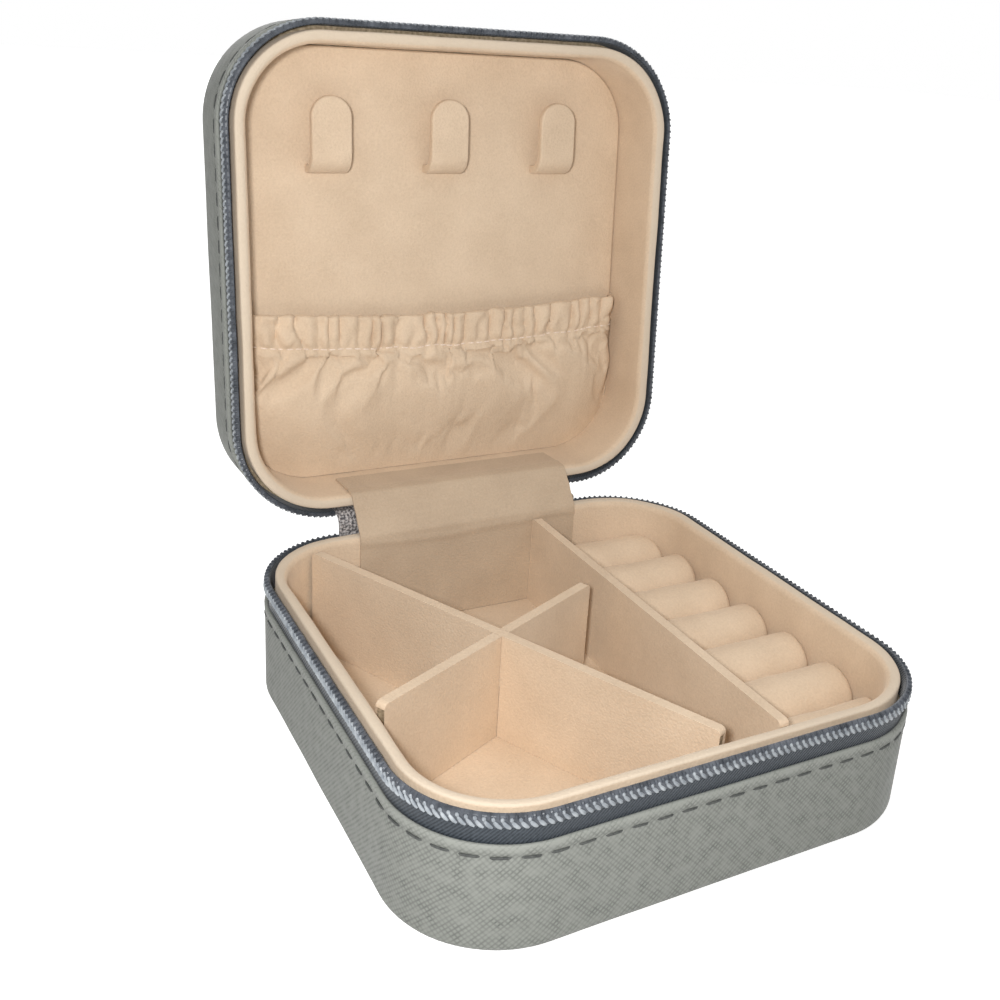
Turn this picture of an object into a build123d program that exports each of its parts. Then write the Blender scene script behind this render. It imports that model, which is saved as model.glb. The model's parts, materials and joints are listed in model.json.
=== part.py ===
"""Square zip-round jewelry box, standing open: hooked lid behind, divided base in front.

Origin at the middle of the underside, +X to the right, +Y to the hinge at the back, +Z up.
"""
import os
from math import radians, tan

from build123d import *

# Case
case_width = 100.0
case_depth = 100.0
corner_radius = 20.0
base_height = 25.5
lid_height = 18.5
rim_gap = 0.6
open_angle = 93.0
hinge_setback = 1.6
hinge_rise = 1.3

# Wall build-up, from the outside in
cover_thickness = 0.7
cover_edge_bevel = 0.8
cover_turn_under = 9.0
bottom_cover_thickness = 0.5
bottom_cover_margin = 3.0
board_thickness = 1.3
lining_thickness = 2.4
lining_rim_bevel = 0.7
pad_thickness = 1.0
glue_gap = 0.05

# Zip, measured down from each rim
cover_drop = 5.4
tape_drop = 0.5
tape_tuck = 5.0
tape_thickness = 0.4
teeth_drop = 0.1
teeth_height = 3.0
teeth_root = 0.5
teeth_depth = 1.2
tooth_pitch = 2.8
teeth_gap = 0.08
left_tape_end = 29.5
right_tape_end = 20.0
teeth_margin = 7.0

# Zip slider and its pull
slider_length = 7.5
slider_height = 5.0
slider_plate = 0.8
slider_inner_plate = 0.5
slider_clearance = 0.25
slider_gap = 0.4
slider_corner = 1.2
slider_sink = 0.9
core_length = 1.2
core_height = 0.8
bail_wire = 0.6
bail_span = 3.0
bail_rise = 2.1
bail_width = 1.4
bail_bend = 0.8
pull_length = 17.0
pull_width = 4.2
pull_thickness = 0.9
pull_window = 3.4
pull_rail = 1.0
pull_corner = 1.0
pull_root = 0.55

# Hinge strips
spine_width = 39.0
spine_thickness = 0.7
spine_reach = 15.0
spine_bend = 2.5
hinge_lining_width = 52.0
hinge_lining_thickness = 0.5
hinge_lining_bend = 1.5
zip_end_width = 5.0

# Dividers
divider_thickness = 2.0
divider_height = 21.4
divider_play = 0.8
insert_overreach = 1.8
long_divider_shift = 1.4
cross_divider_shift = -2.0
insert_shift_x = -0.3
insert_shift_y = -0.9
insert_angle = 25.2
lap_clearance = 0.15
divider_corner = 1.0
seat_gap = 0.05

# Ring bay
ring_bay_width = 28.6
ring_divider_height = 20.5
ring_divider_front_gap = 2.0
roll_count = 7
roll_clearance = 0.15
roll_sink = 0.6
bed_thickness = 3.0
bay_clearance = 0.25

# Lid furniture
hook_count = 3
hook_pitch = 26.0
hook_width = 8.5
hook_thickness = 1.8
hook_standoff = 3.8
hook_length = 15.5
hook_foot_reach = 70.5
hook_bend = 3.4
pocket_reach = 42.5
pocket_sag = 3.0
pocket_space = 2.4
pocket_sheet = 1.2
pocket_bevel = 1.0
hem_margin = 0.8
elastic_width = 5.0
elastic_thickness = 0.5

# Places worked out from the sizes above
half_width = case_width / 2
half_depth = case_depth / 2
board_floor = bottom_cover_thickness + cover_thickness
pad_floor = board_floor + board_thickness
floor_height = pad_floor + pad_thickness
lining_inset = cover_thickness + board_thickness
inner_inset = lining_inset + lining_thickness
tape_inset = cover_thickness + glue_gap
tape_plane = half_depth - tape_inset - tape_thickness / 2
teeth_inset = tape_inset - teeth_gap
left_teeth_end = left_tape_end + glue_gap
right_teeth_end = right_tape_end + teeth_margin
inner_wall = half_depth - inner_inset
lid_rim = base_height + rim_gap
lid_top = lid_rim + lid_height
hinge_y = half_depth + hinge_setback
hinge_z = base_height + hinge_rise
insert_floor = floor_height + seat_gap
ring_floor = floor_height + bed_thickness
ring_divider_right = half_width - inner_inset - ring_bay_width
ring_divider_x = ring_divider_right - divider_thickness / 2
insert_bay_left = inner_inset - half_width
insert_bay_right = ring_divider_right - divider_thickness
insert_x = (insert_bay_left + insert_bay_right) / 2 + insert_shift_x
long_divider_length = 2 * (inner_wall + insert_overreach)
cross_divider_length = insert_bay_right - insert_bay_left - 2 * divider_play
ring_bay_depth = 2 * (inner_wall - hinge_lining_thickness - bay_clearance)
roll_pitch = ring_bay_depth / roll_count
pocket_top = floor_height + pocket_space + pocket_sheet

right_half = FilletPolyline(
    (0, half_depth),
    (half_width, half_depth),
    (half_width, -half_depth),
    (0, -half_depth),
    radius=corner_radius,
)
lid_shut = Pos(0, 0, lid_top) * Rot(Y=180)
lid_swing = Pos(0, hinge_y, hinge_z) * Rot(X=-open_angle) * Pos(0, -hinge_y, -hinge_z)
lid_place = lid_swing * lid_shut


def plan(inset):
    """Plan of the case, moved in from its outer face by an inset."""
    return RectangleRounded(case_width - 2 * inset, case_depth - 2 * inset, corner_radius - inset)


def slab(inset, low, high):
    """Plate with the case's plan between two heights."""
    return Pos(0, 0, low) * extrude(plan(inset), high - low)


def wall(outside, inside, low, high):
    """Ring with the case's plan between two insets and two heights."""
    return slab(outside, low, high) - slab(inside, low, high)


def strip(points, bend, thickness, width, middle):
    """Bent sheet that follows points of a side view, with its width along X."""
    route = FilletPolyline(*points, radius=bend)
    side = trace(route, line_width=thickness)
    return Pos(middle, 0, 0) * extrude(Plane.YZ * side, width / 2, both=True)


def lid_point(y, z):
    """Side-view place of a point of the lid tray, with the lid open."""
    place = (lid_place * Pos(0, y, z)).position
    return (place.Y, place.Z)


def side_cover(height):
    """Band of cover material, bevelled at the outer edge and turned under the bottom."""
    top = height - cover_drop
    outer = slab(0, bottom_cover_thickness, top)
    outer = chamfer(outer.edges().group_by(Axis.Z)[0], cover_edge_bevel)
    return outer - slab(cover_thickness, board_floor, top) - slab(cover_turn_under, 0, top)


def board_frame(height):
    """Stiff card ring between the zip tape and the lining."""
    outside = tape_inset + tape_thickness + glue_gap
    return wall(outside, lining_inset, board_floor, height - cover_drop)


def lining_wall(height):
    """Padded velvet wall with its rim bevelled on the inside."""
    ring = wall(lining_inset + glue_gap, inner_inset, pad_floor, height)
    rim = ring.faces().sort_by(Axis.Z)[-1]
    return chamfer(rim.inner_wires()[0].edges(), lining_rim_bevel)


def zip_tape(height, left_end, right_end):
    """Woven tape behind the cover's edge, open at the back between its two ends."""
    low = height - cover_drop - tape_tuck
    high = height - tape_drop
    ring = wall(tape_inset, tape_inset + tape_thickness, low, high)
    opening = Pos(-left_end, 0, low) * Box(
        left_end + right_end, case_depth, high - low, align=(Align.MIN, Align.MIN, Align.MIN)
    )
    return ring - opening


def rim_point(distance, offset):
    """Point beside the case's outline, by its distance from the middle of the back."""
    on_right = distance <= right_half.length
    along = distance if on_right else 2 * right_half.length - distance
    share = along / right_half.length
    across = (right_half % share).rotate(Axis.Z, 90)
    spot = (right_half @ share) + across * offset
    return (spot.X if on_right else -spot.X, spot.Y)


def zip_teeth(height, left_end, right_end):
    """Row of teeth on the tape: one toothed outline that follows the case, at about twice the real pitch."""
    row_length = 2 * right_half.length - left_end - right_end
    count = round(row_length / tooth_pitch)

    def beside(step, offset):
        return rim_point(right_end + row_length * step / count, offset - teeth_inset)

    outline = []
    for tooth in range(count):
        outline.append(beside(tooth, teeth_root))
        outline.append(beside(tooth + 1 / 2, teeth_depth))
    outline.append(beside(count, teeth_root))
    outline.extend(beside(tooth, 0) for tooth in range(count, -1, -1))
    row = extrude(make_face(Polyline(*outline, close=True)), teeth_height)
    return Pos(0, 0, height - teeth_drop - teeth_height) * row


def tray(height, tape_ends, teeth_ends):
    """Every layer of one half of the case, standing on its outer face."""
    return {
        "side_cover": side_cover(height),
        "bottom_cover": slab(bottom_cover_margin, 0, bottom_cover_thickness),
        "board_frame": board_frame(height),
        "board": slab(lining_inset + glue_gap, board_floor, pad_floor),
        "lining_wall": lining_wall(height),
        "pad": slab(inner_inset + glue_gap, pad_floor, floor_height),
        "zip_tape": zip_tape(height, *tape_ends),
        "zip_teeth": zip_teeth(height, *teeth_ends),
    }


def hinge_spine():
    """Outer strip of cover material across the hinge, bent round the back of the open lid."""
    face = half_depth + glue_gap + spine_thickness / 2
    corner = hinge_z + (hinge_y - face) * tan(radians(open_angle / 2))
    points = [
        (face, base_height - spine_reach),
        (face, corner),
        lid_point(face, lid_height - spine_reach),
    ]
    return strip(points, spine_bend, spine_thickness, spine_width, 0)


def hinge_lining():
    """Velvet strip that runs up the base's back wall, over the gap and along the lid's wall."""
    face = inner_wall - glue_gap - hinge_lining_thickness / 2
    points = [
        (face, floor_height + glue_gap),
        (face, base_height),
        lid_point(face, lid_height),
        lid_point(face, pocket_top + glue_gap),
    ]
    return strip(points, hinge_lining_bend, hinge_lining_thickness, hinge_lining_width, 0)


def zip_end():
    """Woven tape that closes the zip at the left of the hinge, from base to lid."""
    corner = hinge_z + (hinge_y - tape_plane) * tan(radians(open_angle / 2))
    low = cover_drop + tape_tuck
    points = [
        (tape_plane, base_height - low),
        (tape_plane, corner),
        lid_point(tape_plane, lid_height - low),
    ]
    middle = zip_end_width / 2 - left_tape_end + glue_gap
    return strip(points, spine_bend, tape_thickness, zip_end_width, middle)


def divider(length, shift, slot_up):
    """Velvet board on its long edge, with half of a cross lap a little off its middle."""
    face = Pos(shift, divider_height / 2) * Rectangle(length, divider_height)
    face = fillet(face.vertices().group_by(Axis.Y)[-1], divider_corner)
    slot = Rectangle(divider_thickness + 2 * lap_clearance, divider_height)
    slot_middle = divider_height - lap_clearance if slot_up else lap_clearance
    return extrude(Plane.XZ * (face - Pos(0, slot_middle) * slot), divider_thickness / 2, both=True)


def insert_place(turn):
    """Place of a loose divider: the cross lies turned in its bay."""
    return Pos(insert_x, insert_shift_y, insert_floor) * Rot(Z=insert_angle + turn)


def ring_divider():
    """Fixed velvet board between the dividers and the ring rolls."""
    back = inner_wall - hinge_lining_thickness - 2 * glue_gap
    front = ring_divider_front_gap - inner_wall
    face = Pos((front + back) / 2, ring_divider_height / 2) * Rectangle(back - front, ring_divider_height)
    face = fillet(face.vertices().group_by(Axis.Y)[-1], divider_corner)
    board = extrude(Plane.YZ * face, divider_thickness / 2, both=True)
    return Pos(ring_divider_x, 0, floor_height) * board


def ring_bay(low, high):
    """Space between the ring divider and the right wall, clear of the hinge strip."""
    left = ring_divider_right + glue_gap
    block = Pos(left, 0, low) * Box(
        half_width, ring_bay_depth, high - low, align=(Align.MIN, Align.CENTER, Align.MIN)
    )
    return slab(inner_inset + bay_clearance, low, high) & block


def ring_roll(index):
    """Stuffed roll across the bay, flattened where it lies on the bed."""
    radius = roll_pitch / 2 - roll_clearance
    middle = ((roll_count - 1) / 2 - index) * roll_pitch
    bar = extrude(Plane.YZ * Circle(radius), case_width)
    bar = Pos(0, middle, ring_floor + radius - roll_sink) * bar
    return bar & ring_bay(ring_floor, base_height)


def hook(index):
    """Velvet tongue that stands off the lid panel, with a rounded free end."""
    foot = half_depth - hook_foot_reach - hook_thickness / 2
    tongue = floor_height + hook_standoff + hook_thickness / 2
    tip = half_depth - hook_foot_reach - hook_length
    route = FilletPolyline((foot, floor_height), (foot, tongue), (tip, tongue), radius=hook_bend)
    side = trace(route, line_width=hook_thickness)
    body = extrude(Plane.YZ * side, hook_width / 2, both=True)
    end_round = hook_width / 2 - glue_gap
    body = fillet(body.edges().filter_by(Axis.Z).group_by(Axis.Y)[0], end_round)
    return Pos((index - (hook_count - 1) / 2) * hook_pitch, 0, 0) * body


def pocket_disc(reach):
    """Large disc whose edge is the pocket's sagging mouth, or a line beside it."""
    mouth = half_depth - pocket_reach
    radius = (half_width**2 + pocket_sag**2) / (2 * pocket_sag)
    return Pos(0, mouth + pocket_sag - radius) * Circle(radius + reach)


def pocket():
    """Pouch sewn round the lower panel, open at its sagging mouth, with a hem tunnel."""
    outline = plan(inner_inset + glue_gap)
    pouch = Pos(0, 0, floor_height) * extrude(outline - pocket_disc(0), pocket_top - floor_height)
    pouch = chamfer(pouch.edges().group_by(Axis.Z)[-1].filter_by(GeomType.LINE), pocket_bevel)
    hollow = plan(inner_inset + glue_gap + pocket_sheet)
    pouch -= Pos(0, 0, floor_height) * extrude(hollow, pocket_space)
    tunnel = Pos(0, 0, floor_height + pocket_space + (pocket_sheet - elastic_thickness) / 2 - glue_gap)
    return pouch - tunnel * extrude(hem_band(glue_gap), elastic_thickness + 2 * glue_gap)


def hem_band(margin):
    """Plan of the elastic behind the pocket's mouth, grown by a margin."""
    band = pocket_disc(hem_margin + elastic_width + margin) - pocket_disc(hem_margin - margin)
    return band & plan(inner_inset + 2 * pocket_sheet + pocket_bevel - margin)


def pocket_elastic():
    """Flat elastic inside the pocket's hem."""
    low = floor_height + pocket_space + (pocket_sheet - elastic_thickness) / 2
    return Pos(0, 0, low) * extrude(hem_band(0), elastic_thickness)


def slider_faces():
    """Depths of the slider: inner plate's two faces, outer plate's two faces."""
    inner_face = half_depth - tape_inset - tape_thickness - slider_clearance
    outer_face = half_depth + teeth_depth - teeth_inset + slider_gap
    return inner_face - slider_inner_plate, inner_face, outer_face, outer_face + slider_plate


def slider_middle():
    """Middle of the slider's plates, parked at the right end of the zip."""
    return right_tape_end + glue_gap + slider_length / 2, base_height - slider_sink + rim_gap / 2


def zip_slider():
    """Two plates joined by a core between the tapes, with a bail on the outer plate."""
    inner_low, inner_high, outer_low, outer_high = slider_faces()
    x, z = slider_middle()
    plate = RectangleRounded(slider_length, slider_height, slider_corner)
    body = Pos(x, inner_high, z) * extrude(Plane.XZ * plate, slider_inner_plate)
    body += Pos(x, outer_high, z) * extrude(Plane.XZ * plate, slider_plate)
    core_x = x - slider_length / 2 + slider_corner / 2 + core_length / 2
    core_z = base_height + rim_gap / 2
    body += Pos(core_x, inner_low, core_z) * Box(
        core_length, outer_high - inner_low, core_height, align=(Align.CENTER, Align.MIN, Align.CENTER)
    )
    route = FilletPolyline(
        (x - bail_span / 2, outer_high - glue_gap),
        (x - bail_span / 2, outer_high + bail_rise),
        (x + bail_span / 2, outer_high + bail_rise),
        (x + bail_span / 2, outer_high - glue_gap),
        radius=bail_bend,
    )
    bail = extrude(trace(route, line_width=bail_wire), bail_width / 2, both=True)
    return body + Pos(0, 0, z) * bail


def pull_pivot():
    """Axis of the pull: the middle of the space inside the bail."""
    x, z = slider_middle()
    return x, slider_faces()[3] + (bail_rise - bail_wire / 2) / 2, z


def zip_pull():
    """Flat pull that lies along the back of the case, with a round bar at its root inside the bail."""
    place = Pos(*pull_pivot())
    face = Pos(pull_root - pull_length / 2, 0) * RectangleRounded(pull_length, pull_width, pull_corner)
    face -= Pos(pull_root - pull_window / 2, 0) * Rectangle(pull_window, pull_width - 2 * pull_rail)
    plate = extrude(Plane.XZ * face, pull_thickness / 2, both=True)
    return place * (plate + Cylinder(pull_thickness / 2, pull_width - pull_rail))


def build():
    """Every piece of the box, by name, where it stands with the lid open."""
    base = tray(base_height, (left_tape_end, right_tape_end), (left_teeth_end, right_teeth_end))
    lid = tray(lid_height, (right_tape_end, left_tape_end), (right_teeth_end, left_teeth_end))
    pieces = {f"base_{name}": piece for name, piece in base.items()}
    pieces |= {f"lid_{name}": lid_place * piece for name, piece in lid.items()}
    pieces["lid_top_cover"] = pieces.pop("lid_bottom_cover")
    pieces["hinge_spine"] = hinge_spine()
    pieces["hinge_lining"] = hinge_lining()
    pieces["zip_end"] = zip_end()
    pieces["cross_divider"] = insert_place(0) * divider(cross_divider_length, cross_divider_shift, True)
    pieces["long_divider"] = insert_place(90) * divider(long_divider_length, long_divider_shift, False)
    pieces["ring_divider"] = ring_divider()
    pieces["ring_bed"] = ring_bay(floor_height, ring_floor)
    for index in range(roll_count):
        pieces[f"ring_roll_{index + 1}"] = ring_roll(index)
    for index in range(hook_count):
        pieces[f"necklace_hook_{index + 1}"] = lid_place * hook(index)
    pieces["lid_pocket"] = lid_place * pocket()
    pieces["pocket_elastic"] = lid_place * pocket_elastic()
    pieces["zip_slider"] = zip_slider()
    pieces["zip_pull"] = zip_pull()
    return pieces


os.makedirs("parts", exist_ok=True)
for node, piece in build().items():
    export_step(piece, f"parts/{node}.step")
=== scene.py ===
import json
import math
from functools import partial

import bmesh
import bpy
from bpy.props import FloatProperty, FloatVectorProperty, IntProperty, PointerProperty
from mathutils import Matrix, Vector, noise


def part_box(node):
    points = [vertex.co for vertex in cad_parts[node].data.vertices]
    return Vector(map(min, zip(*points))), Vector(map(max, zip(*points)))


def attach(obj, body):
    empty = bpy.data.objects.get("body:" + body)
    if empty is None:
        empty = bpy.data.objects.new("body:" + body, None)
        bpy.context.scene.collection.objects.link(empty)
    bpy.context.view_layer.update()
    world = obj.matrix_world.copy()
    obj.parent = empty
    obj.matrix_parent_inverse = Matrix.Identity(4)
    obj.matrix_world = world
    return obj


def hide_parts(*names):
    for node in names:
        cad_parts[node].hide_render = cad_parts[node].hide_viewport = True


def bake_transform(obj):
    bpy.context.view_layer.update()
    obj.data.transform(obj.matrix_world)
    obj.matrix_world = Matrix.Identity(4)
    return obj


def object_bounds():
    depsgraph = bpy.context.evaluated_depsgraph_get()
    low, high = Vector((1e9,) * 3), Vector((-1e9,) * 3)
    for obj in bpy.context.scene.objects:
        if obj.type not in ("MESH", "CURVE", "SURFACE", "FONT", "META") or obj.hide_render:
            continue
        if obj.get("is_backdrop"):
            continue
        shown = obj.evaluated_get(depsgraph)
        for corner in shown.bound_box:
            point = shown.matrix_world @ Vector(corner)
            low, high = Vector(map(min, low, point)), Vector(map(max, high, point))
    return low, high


bl_info = {
    "name": "Zip-round jewelry box",
    "version": (1, 0, 0),
    "blender": (4, 5, 0),
    "location": "View3D > Sidebar > Jewelry Box",
    "description": "Builds the cover, linings, zip and pocket of a jewelry box on its CAD frame",
    "category": "Object",
}

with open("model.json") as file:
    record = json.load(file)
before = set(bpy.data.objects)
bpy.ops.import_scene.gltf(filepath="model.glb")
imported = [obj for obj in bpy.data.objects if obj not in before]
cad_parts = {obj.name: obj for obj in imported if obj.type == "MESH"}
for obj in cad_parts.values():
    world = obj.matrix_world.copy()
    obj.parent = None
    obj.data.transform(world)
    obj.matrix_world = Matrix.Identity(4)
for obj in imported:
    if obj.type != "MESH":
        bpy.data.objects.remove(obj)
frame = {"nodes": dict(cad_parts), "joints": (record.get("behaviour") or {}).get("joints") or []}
CAD_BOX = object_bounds()
MM = 0.001
IDENTITY = Matrix()


def colour(code):
    """Linear colour of an sRGB hex code."""
    parts = [int(code[i : i + 2], 16) / 255 for i in (1, 3, 5)]
    return [part / 12.92 if part <= 0.04045 else ((part + 0.055) / 1.055) ** 2.4 for part in parts] + [1.0]


def length(label, note, millimetres):
    """Property for a length, by its default in millimetres."""
    return FloatProperty(name=label, description=note, default=millimetres * MM, unit="LENGTH", precision=5)


def angle(label, note, degrees):
    """Property for an angle, by its default in degrees."""
    return FloatProperty(name=label, description=note, default=math.radians(degrees), subtype="ANGLE")


def shade(label, note, code):
    """Property for a colour, by its default as an sRGB hex code."""
    return FloatVectorProperty(
        name=label, description=note, default=colour(code), size=4, min=0, max=1, subtype="COLOR"
    )


class CaseSizes(bpy.types.PropertyGroup):
    """Shape of the two halves of the case."""

    corner: length("Corner radius", "Radius of the case's corners in plan", 20)
    lid_height: length("Lid height", "From the lid's outer face to its rim", 18.5)
    rim_gap: length("Rim gap", "Space between the two rims when shut", 0.6)
    edge_round: length("Edge rounding", "Radius of the cover's outer edge", 1.6)
    turn_under: length("Turn-under", "Width of cover turned under the bottom", 9)
    hem_round: length("Hem rounding", "Radius of the folded edge of the cover", 0.42)
    hem_foot: length("Hem foot", "How far the cover stands out above the stitches", 0.05)
    hem_stand: length("Hem stand", "How far the folded edge of the cover stands out", 0.08)
    cover_wave: length("Cover wave", "Height of the cover's unevenness", 0.1)
    cover_wave_size: length("Cover wave size", "Width of the cover's unevenness", 14)
    panel_bevel: length("Panel bevel", "Bevel of the outer panels", 0.15)
    lip_round: length("Lip rounding", "Radius of the lining's outer upper edge", 0.5)
    lip_roll: length("Lip roll", "Radius of the lining's inner upper edge", 1.5)
    pad_round: length("Pad rounding", "Radius of the pads' edges", 0.6)
    pad_gap: length("Pad gap", "Space between a pad and its wall", 0.1)
    sweep_step: length("Step", "Length of one face along the case's outline", 1.5)
    nap_wave: length("Nap wave", "Height of the soft unevenness of velvet walls", 0.14)
    nap_wave_size: length("Nap wave size", "Width of the soft unevenness of velvet walls", 9)


class StitchSizes(bpy.types.PropertyGroup):
    """Rows of sewing thread."""

    drop: length("Drop", "From the cover's edge to the row of stitches", 2.2)
    pitch: length("Pitch", "From one stitch to the next", 4.5)
    dash: length("Dash", "Seen length of one stitch", 2.9)
    thread: length("Thread", "Thickness of the thread", 0.44)
    hem_pitch: length("Hem pitch", "From one stitch of the pocket's hem to the next", 1.9)
    hem_dash: length("Hem dash", "Seen length of one stitch of the pocket's hem", 1.3)
    hem_thread: length("Hem thread", "Thickness of the thread in the pocket's hem", 0.28)
    sway: FloatProperty(
        name="Sway", description="Largest turn of a stitch off its row", default=0.06, subtype="ANGLE"
    )
    spine_gap: length("Spine gap", "From the spine to the first stitch", 1)
    seed: IntProperty(name="Seed", description="Picks the turn of each stitch", default=7)


class ZipSizes(bpy.types.PropertyGroup):
    """Tapes and coils of the zip."""

    pitch: length("Pitch", "From one turn of the coil to the next", 1.26)
    wire: length("Wire", "Radius of the coil's wire", 0.3)
    strand: length("Strand", "Radius of the thread that sews the coil on", 0.34)
    coil_height: length("Coil height", "Height of the coil on the tape", 2.2)
    coil_depth: length("Coil depth", "How far the coil stands off the tape", 0.6)
    left_end: length("Left end", "From the middle of the back to the zip's left end", 29.5)
    right_end: length("Right end", "From the middle of the back to the tapes' right end", 20)
    coil_margin: length("Coil margin", "Tape without coil at the right end", 7)
    tape_wave: length("Tape wave", "Height of the tape's unevenness", 0.08)
    tape_wave_size: length("Tape wave size", "Width of the tape's unevenness", 5)
    slider_round: length("Slider rounding", "Radius of the slider's and the pull's edges", 0.14)


class SoftSizes(bpy.types.PropertyGroup):
    """Pocket, rolls and hinge strips."""

    pocket_reach: length("Pocket reach", "From the lid's hinge side to the ends of the mouth", 42.5)
    pocket_sag: length("Pocket sag", "How far the middle of the mouth hangs", 3)
    pocket_depth: length("Pocket depth", "From the panel to the outside of the hem", 4.6)
    hem: length("Hem", "From the mouth to the row of stitches", 6.3)
    cloth: length("Cloth", "Thickness of the pocket's cloth", 0.36)
    gather_pitch: length("Gather pitch", "Mean width of a pucker in the hem", 3.4)
    gather: length("Gather", "Height of the puckers in the hem", 1.6)
    fold_pitch: length("Fold pitch", "Width of the soft folds below the hem", 13)
    fold: length("Fold", "Height of the soft folds below the hem", 1.0)
    roll_round: length("Roll end", "Rounding of a roll's ends", 1.7)
    roll_lump: length("Roll lump", "Height of the unevenness of a roll", 0.2)
    roll_lump_size: length("Roll lump size", "Width of the unevenness of a roll", 6)
    roll_swell: length("Roll swell", "Largest move of a roll's cloth as it fills", 0.6)
    roll_pressure: FloatProperty(
        name="Roll pressure", description="Pressure inside a roll in the cloth pass", default=4.0
    )
    pocket_swell: length("Pocket swell", "Largest move of the pocket's cloth as it slackens", 1.3)
    pocket_slack: FloatProperty(
        name="Pocket slack", description="Spare length of the pocket's cloth", default=0.07, subtype="FACTOR"
    )
    board_round: length("Board rounding", "Radius of the dividers' edges", 0.5)
    board_cloth: length("Board cloth", "Width of cloth round the raw end of a divider", 0.25)
    board_sink: length("Board sink", "How far the raw board lies inside its cloth", 0.3)
    hook_round: length("Hook rounding", "Radius of the hooks' edges", 0.4)
    strip: length("Strip", "Thickness of the hinge strip", 0.5)
    strip_bend: length("Strip bend", "Radius of the hinge strip's bends", 1.5)
    strip_crease: length("Strip crease", "Depth of the hinge strip's creases", 0.22)
    spine_bend: length("Spine bend", "Radius of the bend of the spine and the zip end", 2.5)
    trial_scale: FloatProperty(
        name="Trial scale", description="Size of the cloth pass, times the real size", default=20.0
    )
    trial_frames: IntProperty(name="Trial frames", description="Frames of the cloth pass", default=20)
    board_turn: angle("Board turn", "Turn of the loose dividers", 25.2)


class FinishColours(bpy.types.PropertyGroup):
    """Darkest and palest shade of each finish."""

    leather_low: shade("Leather, dark", "Furrows of the leather", "#555753")
    leather_high: shade("Leather, pale", "Raised cells of the leather", "#8c8e88")
    velvet_low: shade("Velvet, dark", "Brushed-down nap of the lining", "#cab399")
    velvet_high: shade("Velvet, pale", "Raised nap of the lining", "#e0cab0")
    # Painted highlight that makes the tops of the lining's rims paler
    velvet_worn: shade("Velvet, worn", "Rubbed rims of the lining", "#cfc1ae")
    velvet_glow: shade("Velvet, glow", "Sheen of the nap seen along its edge", "#fff0df")
    strip_low: shade("Hinge strip, dark", "Brushed-down nap of the hinge strip", "#b39e87")
    strip_high: shade("Hinge strip, pale", "Raised nap of the hinge strip", "#c9b49b")
    tape_low: shade("Tape, dark", "Grooves of the zip tape", "#22272c")
    tape_high: shade("Tape, pale", "Ribs of the zip tape", "#4a5057")
    weave_low: shade("Zip end, dark", "Dark flecks of the woven zip end", "#4b494b")
    weave_high: shade("Zip end, pale", "Pale flecks of the woven zip end", "#bdb8b6")
    silver_low: shade("Silver, dark", "Dark parts of the thread over the coil", "#767c83")
    silver_high: shade("Silver, pale", "Pale parts of the thread over the coil", "#a9aeb2")
    # Dark nylon of the coil's core and heads, painted darker in part as the shade they sit in
    coil_low: shade("Coil, dark", "Dark parts of the coil's core and heads", "#34383e")
    coil_high: shade("Coil, pale", "Pale parts of the coil's core and heads", "#5b5f66")
    seam_low: shade("Seam, dark", "Dark parts of the cover's stitches", "#2e302f")
    seam_high: shade("Seam, pale", "Pale parts of the cover's stitches", "#4b4d4a")
    hem_low: shade("Hem seam, dark", "Dark parts of the pocket's stitches", "#d9c3b0")
    hem_high: shade("Hem seam, pale", "Pale parts of the pocket's stitches", "#f3e4d6")
    board_low: shade("Board, dark", "Dark fibres of the card", "#75664f")
    board_high: shade("Board, pale", "Pale fibres of the card", "#b09f85")
    elastic_low: shade("Elastic, dark", "Grooves of the elastic", "#cfc9bd")
    elastic_high: shade("Elastic, pale", "Ribs of the elastic", "#efebe2")
    plate: shade("Plate", "Metal of the slider and its pull", "#c9cac8")
    floor: shade("Floor", "Floor of the stage", "#f4f4f3")


class StageSettings(bpy.types.PropertyGroup):
    """Camera, floor and lamps."""

    camera: FloatVectorProperty(
        name="Camera", description="Place of the camera", default=(-0.1029, -0.1655, 0.1295), subtype="TRANSLATION"
    )
    aim: FloatVectorProperty(
        name="Aim", description="Way the camera looks", default=(0.4698, 0.8150, -0.3393), subtype="DIRECTION"
    )
    roll: angle("Roll", "Turn of the camera about its view", 4.11)
    lens: FloatProperty(name="Lens", description="Focal length", default=41.43, unit="CAMERA")
    shift_x: FloatProperty(name="Shift X", description="Sideways shift of the lens", default=-0.0508)
    shift_y: FloatProperty(name="Shift Y", description="Upward shift of the lens", default=-0.0568)
    floor: length("Floor", "Width of the floor", 6000)
    flash_offset: FloatVectorProperty(
        name="Flash offset",
        description="Place of the flash, seen from the camera",
        default=(-0.014, 0.008, 0),
        subtype="TRANSLATION",
    )
    flash_size: length("Flash size", "Width of the flash", 16)
    flash_power: FloatProperty(name="Flash power", description="Power of the flash", default=0.43, unit="POWER")
    overhead: FloatVectorProperty(
        name="Overhead", description="Way to the overhead lamp", default=(0.15, -0.2, 0.97), subtype="DIRECTION"
    )
    lamp_spread: angle("Lamp spread", "Angle that each soft lamp fills", 70)
    overhead_power: FloatProperty(name="Overhead power", description="Strength of the overhead lamp", default=0.75)
    behind: FloatVectorProperty(
        name="Behind", description="Way to the lamp behind", default=(0.35, 0.85, 0.4), subtype="DIRECTION"
    )
    behind_power: FloatProperty(name="Behind power", description="Strength of the lamp behind", default=1.1)
    ambient: FloatProperty(name="Ambient", description="Strength of the light from all round", default=0.23)


SETTINGS = {
    "box_case": CaseSizes,
    "box_stitch": StitchSizes,
    "box_zip": ZipSizes,
    "box_soft": SoftSizes,
    "box_colours": FinishColours,
    "box_stage": StageSettings,
}


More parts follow.
